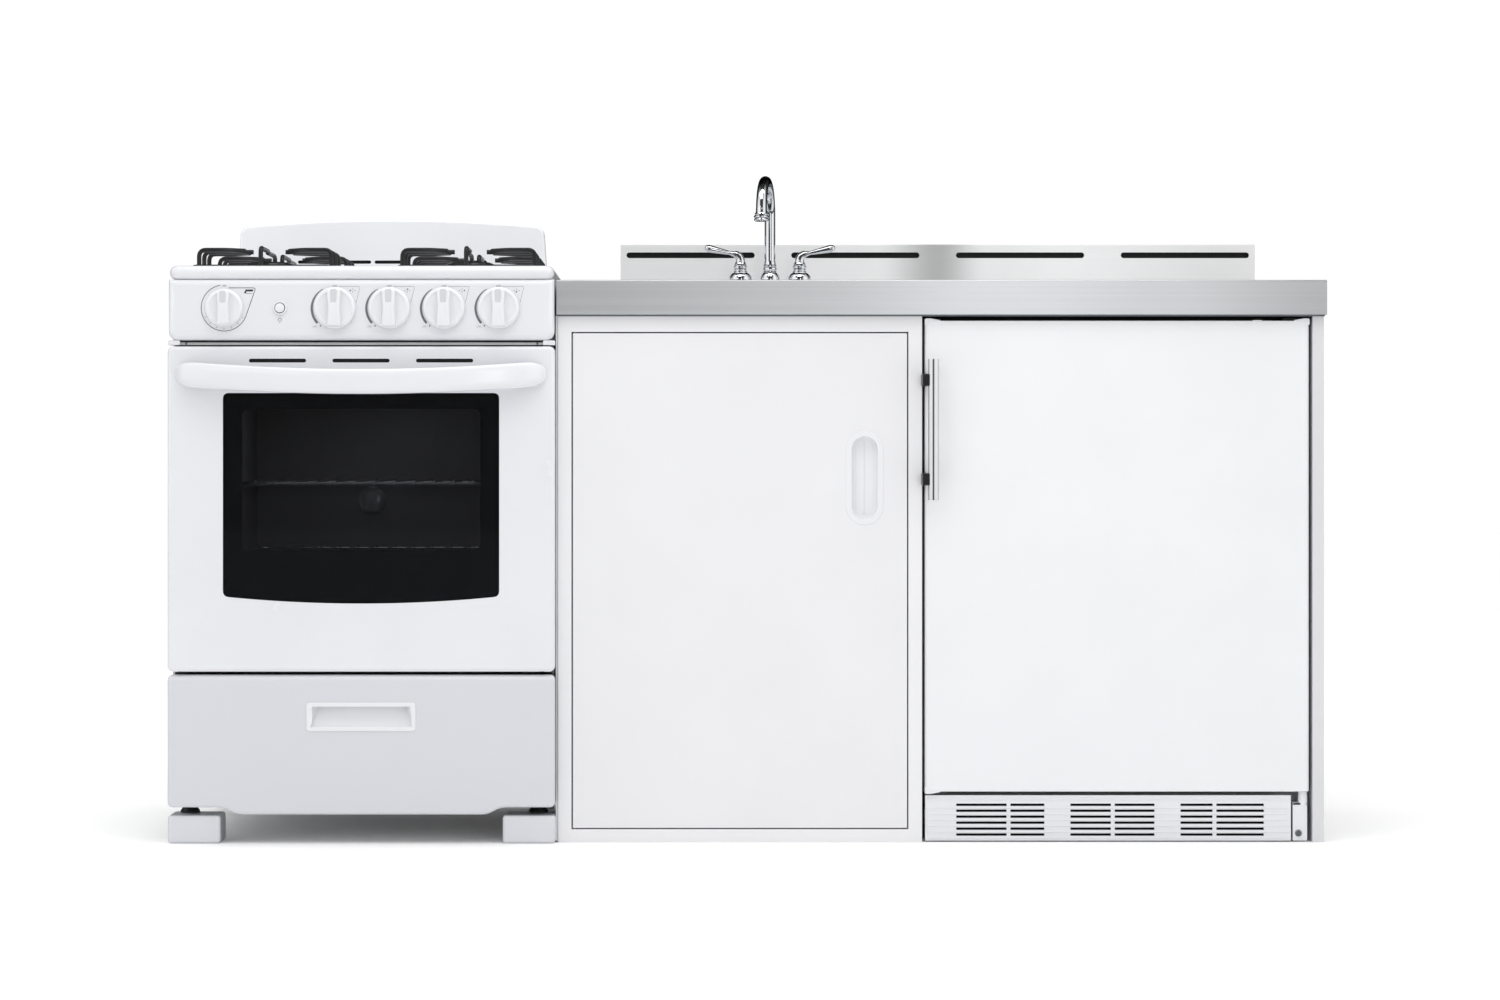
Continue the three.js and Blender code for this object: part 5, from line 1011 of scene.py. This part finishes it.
hole = slab("hole", (SINK_X - 191.8, SINK_X + 191.8), (BOWL_NEAR - 1.8, BOWL_FAR + 1.8),
            (COUNTER_TOP - 10, COUNTER_TOP + 5),
            corner=46.8, along="Z", steps=10)
carve(top, under, mouth, hole)
soften(top, 0.5, 2, 50)
fit(smooth(top, 35), "frame", "brushed_steel", STEEL, "worktop")

SPLASH_LEFT, SPLASH_RIGHT, SPLASH_TOP, SPLASH_FRONT = -211.0, 899.0, 980.0, BACK - 15
splash = block("splash_sheet", (SPLASH_LEFT, SPLASH_RIGHT), (SPLASH_FRONT, BACK),
               (COUNTER_TOP + 0.2, SPLASH_TOP))
pick_edges(splash, lambda a,
    b: a.z > 0.97 and b.z > 0.97 and a.y < SPLASH_FRONT * MM + 0.001 and b.y < SPLASH_FRONT * MM + 0.001)
round_picked(1.5, 4)
cuts = [block("hollow", (SPLASH_LEFT + 2, SPLASH_RIGHT - 2), (SPLASH_FRONT + 1.6, BACK + 5),
              (COUNTER_TOP + 3, SPLASH_TOP - 2))]
for i in range(4):
    x0 = SPLASH_LEFT + 10.5 + i * 288.25
    cuts.append(slab("slot", (x0, x0 + 224.25), (SPLASH_FRONT - 5, SPLASH_FRONT + 5), (956, 966),
                     corner=4.9, along="Y"))
carve(splash, *cuts)
fit(smooth(splash, 35), "frame", "brushed_steel", STEEL_SPLASH, "backsplash")
# painted shade: a black sheet behind the splash's slots
dark = block("splash_slot_painted_shade", (SPLASH_LEFT + 4, SPLASH_RIGHT - 4), (SPLASH_FRONT + 6, SPLASH_FRONT + 7),
             (COUNTER_TOP + 40, SPLASH_TOP - 5))
fit(dark, "frame", "black_plastic", PAINTED_SHADE_BLACK)

# painted shade and shadow: every strip here except range_seam_filler stands in for shade; the grey one is the
# shadow under the worktop's lip, and the black ones fill the gaps above and beside the fridge door, behind
# the kick grille and around the cabinet door
STRIPS = (
    ("apron_lip_shadow_strip", (TOP_LEFT + 2, RIGHT - 2), (FRONT + 8, FRONT + 11.6), (831.6, 833.9), LIP_SHADOW_GREY),
    ("fridge_top_gap_shade_low", (308, 846), (FRONT + 40, FRONT + 42), (826.6, 829.4), PAINTED_SHADE_BLACK),
    ("fridge_top_gap_shade_high", (277, 892), (FRONT + 40, FRONT + 42), (829.4, 886), PAINTED_SHADE_BLACK),
    ("fridge_side_gap_shade_left", (276.2, 282.6), (FRONT + 62.4, FRONT + 64), (2, 829), PAINTED_SHADE_BLACK),
    ("fridge_side_gap_shade_right", (885.4, 893.2), (FRONT + 62.4, FRONT + 64), (2, 829), PAINTED_SHADE_BLACK),
    ("range_seam_filler", (-303.6, -300.3), (FRONT + 15, FRONT + 17), (2, 833), CABINET),
    ("kick_grille_painted_shade", (284, 858), (FRONT + 30, FRONT + 31.5), (3, 73), PAINTED_SHADE_BLACK),
    ("cabinet_gap_shade_left", (-284.6, -272), (FRONT + 30.8, FRONT + 31.8), (24, 811), PAINTED_SHADE_BLACK),
    ("cabinet_gap_shade_right", (248, 260.6), (FRONT + 30.8, FRONT + 31.8), (24, 811), PAINTED_SHADE_BLACK),
    ("cabinet_gap_shade_top", (-272, 248), (FRONT + 30.8, FRONT + 31.8), (800, 811), PAINTED_SHADE_BLACK),
    ("cabinet_gap_shade_low", (-272, 248), (FRONT + 30.8, FRONT + 31.8), (21, 27), PAINTED_SHADE_BLACK),
)
for tag, x, y, z, look in STRIPS:
    fit(slab(tag, x, y, z, edge=0.3, rings=2), "frame", "grey_plastic", look)

bowl = slab("bowl_sheet", (SINK_X - BOWL_HALF, SINK_X + BOWL_HALF), (BOWL_NEAR, BOWL_FAR),
            (BOWL_FLOOR, COUNTER_TOP + 2), corner=45, along="Z", steps=12)
pick_faces(bowl, faces_up)
bpy.ops.mesh.delete(type="FACE")
done()
pick_edges(bowl, lambda a, b: a.z < BOWL_FLOOR * MM + 0.0005 and b.z < BOWL_FLOOR * MM + 0.0005)
round_picked(22, 6)
pick_edges(bowl, lambda a, b: a.z > COUNTER_TOP * MM + 0.0015 and b.z > COUNTER_TOP * MM + 0.0015)
bpy.ops.mesh.extrude_region_move(TRANSFORM_OT_translate={"value": (0, 0, 0)})
bpy.ops.transform.resize(value=(204 / 190, 184 / 170, 1), center_override=point(SINK_X, DRAIN_Y, 891))
done()
apply_modifier(bowl, "SOLIDIFY", thickness=1.4 * MM, offset=-1)
drain_hole = disc("drain_hole", (SINK_X, DRAIN_Y, 0), 42, BOWL_FLOOR - 8, BOWL_FLOOR + 8, steps=64)
carve(bowl, drain_hole)
smooth(bowl, 40)
drain = turned("drain_cup", [
    (41.8, BOWL_FLOOR + 0.8), (41.8, BOWL_FLOOR - 4), (38.5, BOWL_FLOOR - 14), (34, BOWL_FLOOR - 16),
    (18, BOWL_FLOOR - 16),
    (18, BOWL_FLOOR - 19), (36, BOWL_FLOOR - 19), (42, BOWL_FLOOR - 15), (44.5, BOWL_FLOOR - 1.5),
    (47, BOWL_FLOOR + 0.2),
    (46.5, BOWL_FLOOR + 1), (41.8, BOWL_FLOOR + 0.8)], (SINK_X, DRAIN_Y, 0), steps=64)
fit(join("sink_basin", [bowl, drain]), "frame", "brushed_steel", STEEL_BOWL, "sink_bowl")

basket = turned("strainer_cup", [
    (0, 723.5), (27, 723.5), (33.4, 735.8), (39.6, 737.6), (40, 738.8), (39.4, 739.4), (33, 738.2),
    (26.4, 725.2), (5, 725.2),
    (3.6, 727), (3.6, 736), (6.8, 740), (7, 743), (4.6, 745.6), (0, 746.2)], (SINK_X, DRAIN_Y, 0), steps=56)
bores = []
for ring_r, count in ((11, 8), (18, 14), (24, 20)):
    for i in range(count):
        turn = 2 * math.pi * i / count
        bores.append(disc("bore", (SINK_X + ring_r * math.cos(turn), DRAIN_Y + ring_r * math.sin(turn), 0),
                          1.5, 720, 727.5, steps=8))
carve(basket, join("bores", bores))
fit(smooth(basket, 35), "strainer_basket", "brushed_steel", STEEL_BOWL, "strainer_basket")

trap = bent([(SINK_X, DRAIN_Y, 719.5), (SINK_X, DRAIN_Y, 540), (SINK_X, DRAIN_Y + 110, 540),
             (SINK_X, DRAIN_Y + 110, 600), (SINK_X, BACK - 4, 600)], 42, 8)
tube = wire("trap_pipe", trap, 20.5, fine=8)
nuts = []
for z, r in ((700, 27), (590, 25.5)):
    nuts.append(turned("nut", [(20, z - 12), (r, z - 12), (r, z + 6), (22, z + 12), (20, z + 12),
                               (20, z - 12)], (SINK_X, DRAIN_Y, 0), steps=24))
fit(join("trap_tube", [tube] + nuts), "frame", "chrome", PIPE, "drain_trap")

# ================================================================ faucet
FAUCET_Y, VALVE_REACH = FRONT + 520, 50.8
deck = slab("deck", (SINK_X - 80, SINK_X + 80), (FAUCET_Y - 27, FAUCET_Y + 27), (COUNTER_TOP, 903),
            corner=25, along="Z", steps=12)
pick_faces(deck, faces_up)
round_picked(8, 6)
valve = [(0, 896), (19, 896), (20, 903), (17.6, 905), (18.6, 907.5), (20.5, 912), (20, 918), (16.4, 923),
         (12.6, 925.4), (12.6, 927), (11.4, 928.2), (11.4, 929), (0, 929)]
middle = [(0, 896), (18, 896), (18.4, 903), (15.4, 905), (16, 908), (17.4, 912.5), (16.6, 918.5),
          (13.4, 923.5), (11.6, 925.6), (12, 927), (11, 928.4), (11, 929), (0, 929)]
parts = [smooth(deck, 40), turned("bulb", middle, (SINK_X, FAUCET_Y, 0), steps=48)]
for side in (-1, 1):
    parts.append(turned("bulb", valve, (SINK_X + side * VALVE_REACH, FAUCET_Y, 0), steps=48))
fit(join("faucet_deck", parts), "frame", "chrome", CHROME, "faucet_base")

SPOUT_R, SPOUT_BEND, SPOUT_TOP, REST = 9.2, 55.0, 1088.0, math.radians(9)
centre_z = SPOUT_TOP - 9.5 - SPOUT_BEND


def along_spout(out, z):
    return (SINK_X - math.sin(REST) * out, FAUCET_Y - math.cos(REST) * out, z)


crook = [along_spout(0, 932), along_spout(0, centre_z - 60), along_spout(0, centre_z)]
for i in range(1, 33):
    turn = math.pi * i / 32
    crook.append(along_spout(SPOUT_BEND * (1 - math.cos(turn)), centre_z + SPOUT_BEND * math.sin(turn)))
crook.append(along_spout(2 * SPOUT_BEND, centre_z - 8))
tube = wire("tube", crook, SPOUT_R, fine=8)
tip = along_spout(2 * SPOUT_BEND, 0)
bell = turned("bell", [
    (7, 0), (10.5, 0), (12.2, 1.4), (12.6, 3.6), (11.6, 5.2), (12.9, 7), (12.9, 9), (11, 10.6),
    (11.6, 12.4), (10.6, 14),
    (9.4, 16), (9.3, 23), (7, 23), (7, 0)], (tip[0], tip[1], centre_z - 16.5), steps=40)
neck = turned("neck", [
    (0, 929.3), (11.6, 929.3), (12.6, 931), (12.4, 933), (10.9, 934.4), (12, 936), (12, 937.4), (10.4, 939),
    (9.8, 943), (9.3, 946), (0, 946)], (SINK_X, FAUCET_Y, 0), steps=40)
fit(join("faucet_gooseneck", [tube, bell, neck]), "faucet_spout", "chrome", CHROME, "faucet_spout")


def lever(side):
    x = SINK_X + side * VALVE_REACH
    hub = turned("hub", [
        (0, 929.3), (11, 929.3), (11.6, 930.6), (10.4, 932), (12.4, 934), (12.4, 936), (10.6, 937.6),
        (11, 939.4), (9.4, 941), (8.6, 944), (0, 944)], (x, FAUCET_Y, 0), steps=40)
    path = [(x, FAUCET_Y, 938), (x, FAUCET_Y, 945)]
    for i in range(1, 9):
        turn = math.radians(78 * i / 8)
        path.append((x + side * 13 * (1 - math.cos(turn)), FAUCET_Y, 945 + 13 * math.sin(turn)))
    elbow = wire("elbow", path, 8, swell=[1.04, 1.02] + [1.0 - 0.035 * i for i in range(8)], fine=6)
    start = Vector(path[-1])
    slope = Vector((side * math.cos(math.radians(12)), 0, math.sin(math.radians(12))))
    shape = [(-1, 0.95), (2, 1.02), (4, 0.95), (6, 0.74), (9, 0.74), (12, 0.8), (30, 1.16), (42, 1.42),
             (46, 1.36), (49.6, 1.1), (51.6, 0.72), (52.2, 0.3)]
    path = [tuple(start + slope * station) for station, _ in shape]
    handle = wire("handle", path, 4.6, swell=[share for _, share in shape], fine=6)
    return join(f"faucet_handle_{'left' if side < 0 else 'right'}", [hub, elbow, handle])


fit(lever(-1), "faucet_lever_left", "chrome", CHROME, "faucet_lever_left")
fit(lever(1), "faucet_lever_right", "chrome", CHROME, "faucet_lever_right")

# ================================================================ base cabinet
CAB_LEFT, CAB_RIGHT, FRAME_FRONT, FRAME_BACK = -300.0, 276.0, FRONT + 12, FRONT + 30
OPEN_LEFT, OPEN_RIGHT, OPEN_LOW, OPEN_HIGH = -278.5, 254.3, 20.5, 807.0
surround = block("cabinet_surround", (CAB_LEFT, CAB_RIGHT), (FRAME_FRONT, FRAME_BACK), (0, APRON_LOW))
carve(surround, block("opening", (OPEN_LEFT, OPEN_RIGHT), (FRAME_FRONT - 5, FRAME_BACK + 5),
                      (OPEN_LOW, OPEN_HIGH)))
soften(surround, 0.8, 2, 50)
fit(smooth(surround, 35), "frame", "white_paint", CABINET, "face_frame")
leaf = slab("cabinet_leaf", (OPEN_LEFT + 2, OPEN_RIGHT - 2), (FRAME_FRONT, FRAME_BACK),
            (OPEN_LOW + 2, OPEN_HIGH - 2), corner=1.5, along="Y", steps=3, edge=1.2, rings=3)
GRIP_X, GRIP_Z = (164.5, 205.5), (511.0, 642.0)


def stadium(name, grow, y):
    x0, x1 = GRIP_X[0] - grow, GRIP_X[1] + grow
    return slab(name, (x0, x1), y, (GRIP_Z[0] - grow, GRIP_Z[1] + grow), corner=(x1 - x0) / 2 - 0.05,
                along="Y", steps=14)


carve(leaf, stadium("hole", 1.8, (FRAME_FRONT - 5, FRAME_FRONT + 13.8)))
for low, high in ((OPEN_HIGH - 11.5, OPEN_HIGH + 5), (OPEN_LOW - 5, OPEN_LOW + 11.5)):
    carve(leaf, disc("pin_hole", (-272.5, FRAME_FRONT + 4, 0), 2.2, low, high, steps=24))
fit(smooth(leaf, 35), "cabinet_door", "white_paint", CABINET_DOOR, "cabinet_door")
rim = stadium("rim", 9, (FRAME_FRONT - 1.2, FRAME_FRONT))
pick_faces(rim, faces_front)
round_picked(1, 3)
shell = stadium("shell", 1.5, (FRAME_FRONT - 0.5, FRAME_FRONT + 13.5))
combine(rim, shell, "UNION")
well = stadium("well", 0, (FRAME_FRONT - 5, FRAME_FRONT + 12))
pick_faces(well, lambda c, n: n.y > 0.9)
round_picked(7, 6)
carve(rim, well)
soften(rim, 0.5, 2, 60)
fit(named(smooth(rim, 35), "cabinet_grip"), "cabinet_door", "white_plastic", PLASTIC, "cabinet_door_pull")
dress(CABINET, "cabinet_box")
dress(END_SHADED_PAINT, "end_panel")
dress(ZINC, "hinge_pin_upper", "hinge_pin_lower")

# ================================================================ refrigerator
D_LEFT, D_RIGHT, D_FRONT, D_BACK, D_LOW, D_HIGH = 280.5, 888.5, FRONT + 12, FRONT + 60, 80.0, 825.0
HINGE_X, HINGE_Y = 879.5, FRONT + 24
front_leaf = block("fridge_leaf", (D_LEFT, D_RIGHT), (D_FRONT, D_BACK), (D_LOW + 0.1, D_HIGH - 0.1))
pick_edges(front_leaf, lambda a, b: abs((b - a).normalized().z) > 0.99 and a.y < D_FRONT * MM + 0.001)
round_picked(7, 7)
soften(front_leaf, 1.2, 3, 50)
cuts = [block("recess", (D_LEFT + 50, D_RIGHT - 50), (D_FRONT + 26, D_BACK + 5), (D_LOW + 50, D_HIGH - 50))]
for low, high in ((D_LOW - 5, D_LOW + 14), (D_HIGH - 14, D_HIGH + 5)):
    cuts.append(disc("pin_hole", (HINGE_X, HINGE_Y, 0), 3.3, low, high, steps=24))
carve(front_leaf, *cuts)
bins = []
for z in (170, 380, 590):
    shelf = block("shelf", (D_LEFT + 49, D_RIGHT - 49), (D_FRONT + 25, D_BACK - 1), (z, z + 3))
    lip = slab("guard", (D_LEFT + 49, D_RIGHT - 49), (D_BACK - 4, D_BACK - 1), (z, z + 42), edge=1, rings=2)
    bins += [shelf, lip]
fit(smooth(front_leaf, 35), "fridge_door", "white_paint", FRIDGE_WHITE, "fridge_door")
fit(join("fridge_door_bins", bins), "fridge_door", "white_plastic", PLASTIC)
for tag, x, way, z, up in (("top_left", D_LEFT - 0.3, 1, D_HIGH, 1),
                           ("top_right", D_RIGHT + 0.3, -1, D_HIGH, 1),
                          ("low_left", D_LEFT - 0.3, 1, D_LOW, -1)):
    shape = [(0, -7), (0, 2.6), (3, 3.7), (9, 3.7), (24, 1), (25, -1.5), (13, -3), (8, -5.5)]
    cap = outline(f"fridge_door_cap_{tag}", [(x + way * u, z + up * v) for u, v in shape],
                  (D_FRONT - 0.6, D_BACK - 8))
    soften(cap, 0.7, 3, 50)
    fit(smooth(cap, 40), "fridge_door", "white_plastic", PLASTIC)

seal = []
for inset in (14, 20, 26):
    x0, x1, z0, z1 = D_LEFT + inset + 2, D_RIGHT - inset - 2, D_LOW + inset + 2, D_HIGH - inset - 2
    y = D_BACK + 1.9
    ring = bent([(x0, y, 400), (x0, y, z1), (x1, y, z1), (x1, y, z0), (x0, y, z0), (x0, y, 399)], 8)
    seal.append(wire("lip", ring, 1.8, closed=True))
fit(join("fridge_seal", seal), "fridge_door", "gasket_rubber", RUBBER, "door_gasket")

BAR_X, BAR_Y, BAR_R, BAR_LOW, BAR_TOP = 291.5, FRONT - 24, 8.3, 541.6, 763.5
rod_piece = turned("fridge_pull_bar", [
    (0, BAR_LOW), (BAR_R - 0.7, BAR_LOW), (BAR_R, BAR_LOW + 0.7), (BAR_R, BAR_TOP - 0.7),
    (BAR_R - 0.7, BAR_TOP), (0, BAR_TOP)],
    (BAR_X, BAR_Y, 0), steps=64)
fit(rod_piece, "fridge_door", "brushed_steel", BAR_METAL, "fridge_handle_bar")
for tag, low in (("lower", 564.8), ("upper", 721.0)):
    arm = slab("arm", (D_LEFT - 6.2, D_LEFT + 3.4), (BAR_Y - 4, D_FRONT - 0.4), (low, low + 19),
               edge=1, rings=3)
    post = slab("post", (D_LEFT - 5, BAR_X + 2), (BAR_Y - 5.5, BAR_Y + 5.5), (low + 0.4, low + 18.6),
                edge=1, rings=3)
    plate = slab("plate", (D_LEFT - 2.5, D_LEFT - 0.1), (D_FRONT - 3, D_FRONT + 18), (low, low + 19),
                 edge=0.6, rings=2)
    fit(join(f"pull_bracket_{tag}", [arm, post, plate]), "fridge_door", "black_plastic", PLASTIC_BLACK,
        f"handle_bracket_{tag}")

GRILLE_LEFT, GRILLE_RIGHT, GRILLE_Y = 281.0, 860.0, FRONT + 16
face = slab("kick_face", (GRILLE_LEFT, GRILLE_RIGHT), (GRILLE_Y, GRILLE_Y + 4), (2, 74), edge=1, rings=3)
slots, ribs = [], []
GROUPS = ((0.085, 0.326, 0.228), (0.397, 0.627, 0.513), (0.698, 0.926, 0.791))
ROWS = (58.8, 49.4, 40, 30.5, 21, 11.7)
for group in GROUPS:
    a, b, bar_x = [GRILLE_LEFT + share * (GRILLE_RIGHT - GRILLE_LEFT) for share in group]
    for z in ROWS:
        slots.append(block("slot", (a, bar_x - 3), (GRILLE_Y - 5, GRILLE_Y + 10), (z - 2, z + 2)))
        slots.append(block("slot", (bar_x + 3, b), (GRILLE_Y - 5, GRILLE_Y + 10), (z - 2, z + 2)))
carve(face, join("slots", slots))
for z in (68, 54.1, 44.7, 35.2, 25.8, 16.4, 6.5):
    ribs.append(slab("rib", (GRILLE_LEFT + 3, GRILLE_RIGHT - 3), (GRILLE_Y - 1.2, GRILLE_Y + 0.6),
                     (z - 1.1, z + 1.1), edge=0.6, rings=2))
grille = join("kick_louvres", [smooth(face, 35)] + ribs)
fit(grille, "frame", "white_plastic", PLASTIC, "kick_grille")

strap = slab("strap", (863, 886), (FRONT + 18, FRONT + 22), (2, 62), corner=2, along="Y", edge=0.6, rings=2)
arm = slab("arm", (863, 886), (FRONT + 18, FRONT + 64), (58, 62), edge=0.6, rings=2)
collar = turned("collar", [(0, 56), (6.4, 56), (7.5, 57.4), (7.5, 74), (7.1, 74.6), (7.1, 79.4), (0, 79.4)],
                (HINGE_X, HINGE_Y, 0), steps=40)
head = turned("hinge_screw", [(0, -1), (5.5, -1), (5.5, 0.8), (4.8, 2.2), (3.4, 2.7), (2.6, 1.4), (0, 1.4)],
              (872, FRONT + 18, 14), "Y", 32)
fit(head, "frame", "zinc", ZINC)
fit(join("lower_hinge", [strap, arm, collar]), "frame", "white_plastic", PLASTIC, "fridge_hinge_lower")
plate = slab("plate", (846, 886), (FRONT + 16, FRONT + 104), (826.1, 829),
             corner=4, along="Z", edge=0.5, rings=2)
pin = disc("pin", (HINGE_X, HINGE_Y, 0), 3, 812.5, 828, steps=24)
fit(join("upper_hinge", [plate, pin]), "frame", "white_plastic", PLASTIC_BLACK, "fridge_hinge_upper")

dial = turned("thermostat", [(0, 777), (15, 777), (17, 778), (20, 781), (20, 790.7), (4, 790.7), (4, 801),
                             (0, 801)],
              (584, FRONT + 150, 0), steps=48)
fit(dial, "thermostat_dial", "grey_plastic", PLASTIC_GREY, "thermostat_dial")
dress(FRIDGE_CASE, "fridge_cabinet")
dress(CLEAR, "fridge_shelf", "crisper_bin")
pump = turned("pump", [(0, 57), (30, 57), (52, 64), (60, 78), (62, 100), (62, 134), (60, 139), (60, 142),
                       (54, 162), (38, 178), (14, 187), (0, 188)], (584, 228.5, 0), steps=56)
fit(pump, "frame", "black_plastic", PLASTIC_BLACK, "compressor")

# ================================================================ studio
bpy.ops.object.select_all(action="DESELECT")
bpy.ops.mesh.primitive_plane_add(size=44, location=(0, 0, 0))
floor = named(bpy.context.active_object, "studio_floor")
paint = finish("studio_floor_paint", (255, 255, 255), 0.7, gloss=0.0, bump=0.0, shade=(254, 254, 254))
paint.node_tree.nodes["Principled BSDF"].inputs["Emission Strength"].default_value = 0.02
floor.data.materials.append(paint)
tree = paint.node_tree
# painted reflection: to glossy rays the floor takes a dark grey (84, 86, 90) instead of its white, so metal
# mirrors a dark floor
floor_dark_in_reflections = tree.nodes.new("ShaderNodeMix")
floor_dark_in_reflections.data_type = "RGBA"
floor_dark_in_reflections.inputs["B"].default_value = srgb(84, 86, 90)
was = tree.nodes["Principled BSDF"].inputs["Base Color"].links[0].from_socket
tree.links.new(was, floor_dark_in_reflections.inputs["A"])
tree.links.new(tree.nodes.new("ShaderNodeLightPath").outputs["Is Glossy Ray"], floor_dark_in_reflections.inputs["Factor"])
tree.links.new(floor_dark_in_reflections.outputs["Result"], tree.nodes["Principled BSDF"].inputs["Base Color"])

world = bpy.data.worlds.new("studio")
world.use_nodes = True
air, join_up = world.node_tree.nodes, world.node_tree.links.new


def span(low, high, least, most, source):
    """A share of a direction: least up to low, most from high, and a straight run between them."""
    step = air.new("ShaderNodeMapRange")
    for label, value in (("From Min", low), ("From Max", high), ("To Min", least), ("To Max", most)):
        step.inputs[label].default_value = value
    join_up(source, step.inputs["Value"])
    return step.outputs["Result"]


def pick(factor, otherwise, when):
    """One strength for some rays and another for the rest."""
    choose = air.new("ShaderNodeMix")
    join_up(factor, choose.inputs["Factor"])
    join_up(otherwise, choose.inputs["A"])
    if isinstance(when, float):
        choose.inputs["B"].default_value = when
    else:
        join_up(when, choose.inputs["B"])
    return choose.outputs["Result"]


def maths(operation, *sources):
    step = air.new("ShaderNodeMath")
    step.operation = operation
    for i, source in enumerate(sources):
        join_up(source, step.inputs[i])
    return step.outputs[0]


sky = air["Background"]
sky.inputs["Color"].default_value = (1, 1, 1, 1)
way = air.new("ShaderNodeSeparateXYZ")
join_up(air.new("ShaderNodeTexCoord").outputs["Generated"], way.inputs[0])
seen = air.new("ShaderNodeLightPath")
dome = span(0.05, 0.6, 0.16, 1.12, way.outputs["Z"])
# what polished metal mirrors: bright side windows in front, dark straight ahead and behind
in_front = span(0.35, -0.3, 0.03, 1.15, way.outputs["Y"])
to_the_side = span(0.42, 0.66, 0.05, 1.0, maths("ABSOLUTE", way.outputs["X"]))
windows = maths("MULTIPLY", to_the_side, in_front)
lit = pick(seen.outputs["Is Glossy Ray"], dome, windows)
join_up(pick(seen.outputs["Is Camera Ray"], lit, 1.03), sky.inputs["Strength"])
bpy.context.scene.world = world


def softbox(name, spot, aim, wide, tall, power):
    light = bpy.data.lights.new(name, "AREA")
    light.shape = "RECTANGLE"
    light.size, light.size_y, light.energy = wide, tall, power
    lamp_stand = bpy.data.objects.new(name, light)
    bpy.context.scene.collection.objects.link(lamp_stand)
    lamp_stand.location = spot
    lamp_stand.rotation_euler = (Vector(aim) - Vector(spot)).to_track_quat("-Z", "Y").to_euler()
    return lamp_stand


softbox("overhead_box", (-0.1, -1.6, 3.4), (-0.1, 0.1, 0.5), 2.2, 1.1, 19)
softbox("key_box", (-2.6, -4.6, 2.3), (-0.3, 0, 0.6), 1.4, 1.4, 8)
softbox("back_wash", (-0.1, -0.27, 2.3), (-0.1, 0.34, 0.95), 2.4, 0.2, 6)
softbox("fill_box", (1.1, -6.6, 1.4), (0.5, 0, 0.7), 0.9, 2.2, 15)

softbox("oven_glow", (RX * MM, (FRONT + 210) * MM, 0.704), (RX * MM, (FRONT + 230) * MM, 0.4), 0.34, 0.26,
        0.22)

eye = bpy.data.cameras.new("photo_camera")
eye.lens = 86.69
eye.shift_x = 0.0467
eye.shift_y = -0.0333
camera = bpy.data.objects.new("photo_camera", eye)
camera.location = (-0.107, -5.9865, 0.6202)
camera.rotation_euler = (math.pi / 2, 0, 0)
bpy.context.scene.collection.objects.link(camera)
bpy.context.scene.camera = camera
bpy.context.scene.view_settings.view_transform = "Standard"
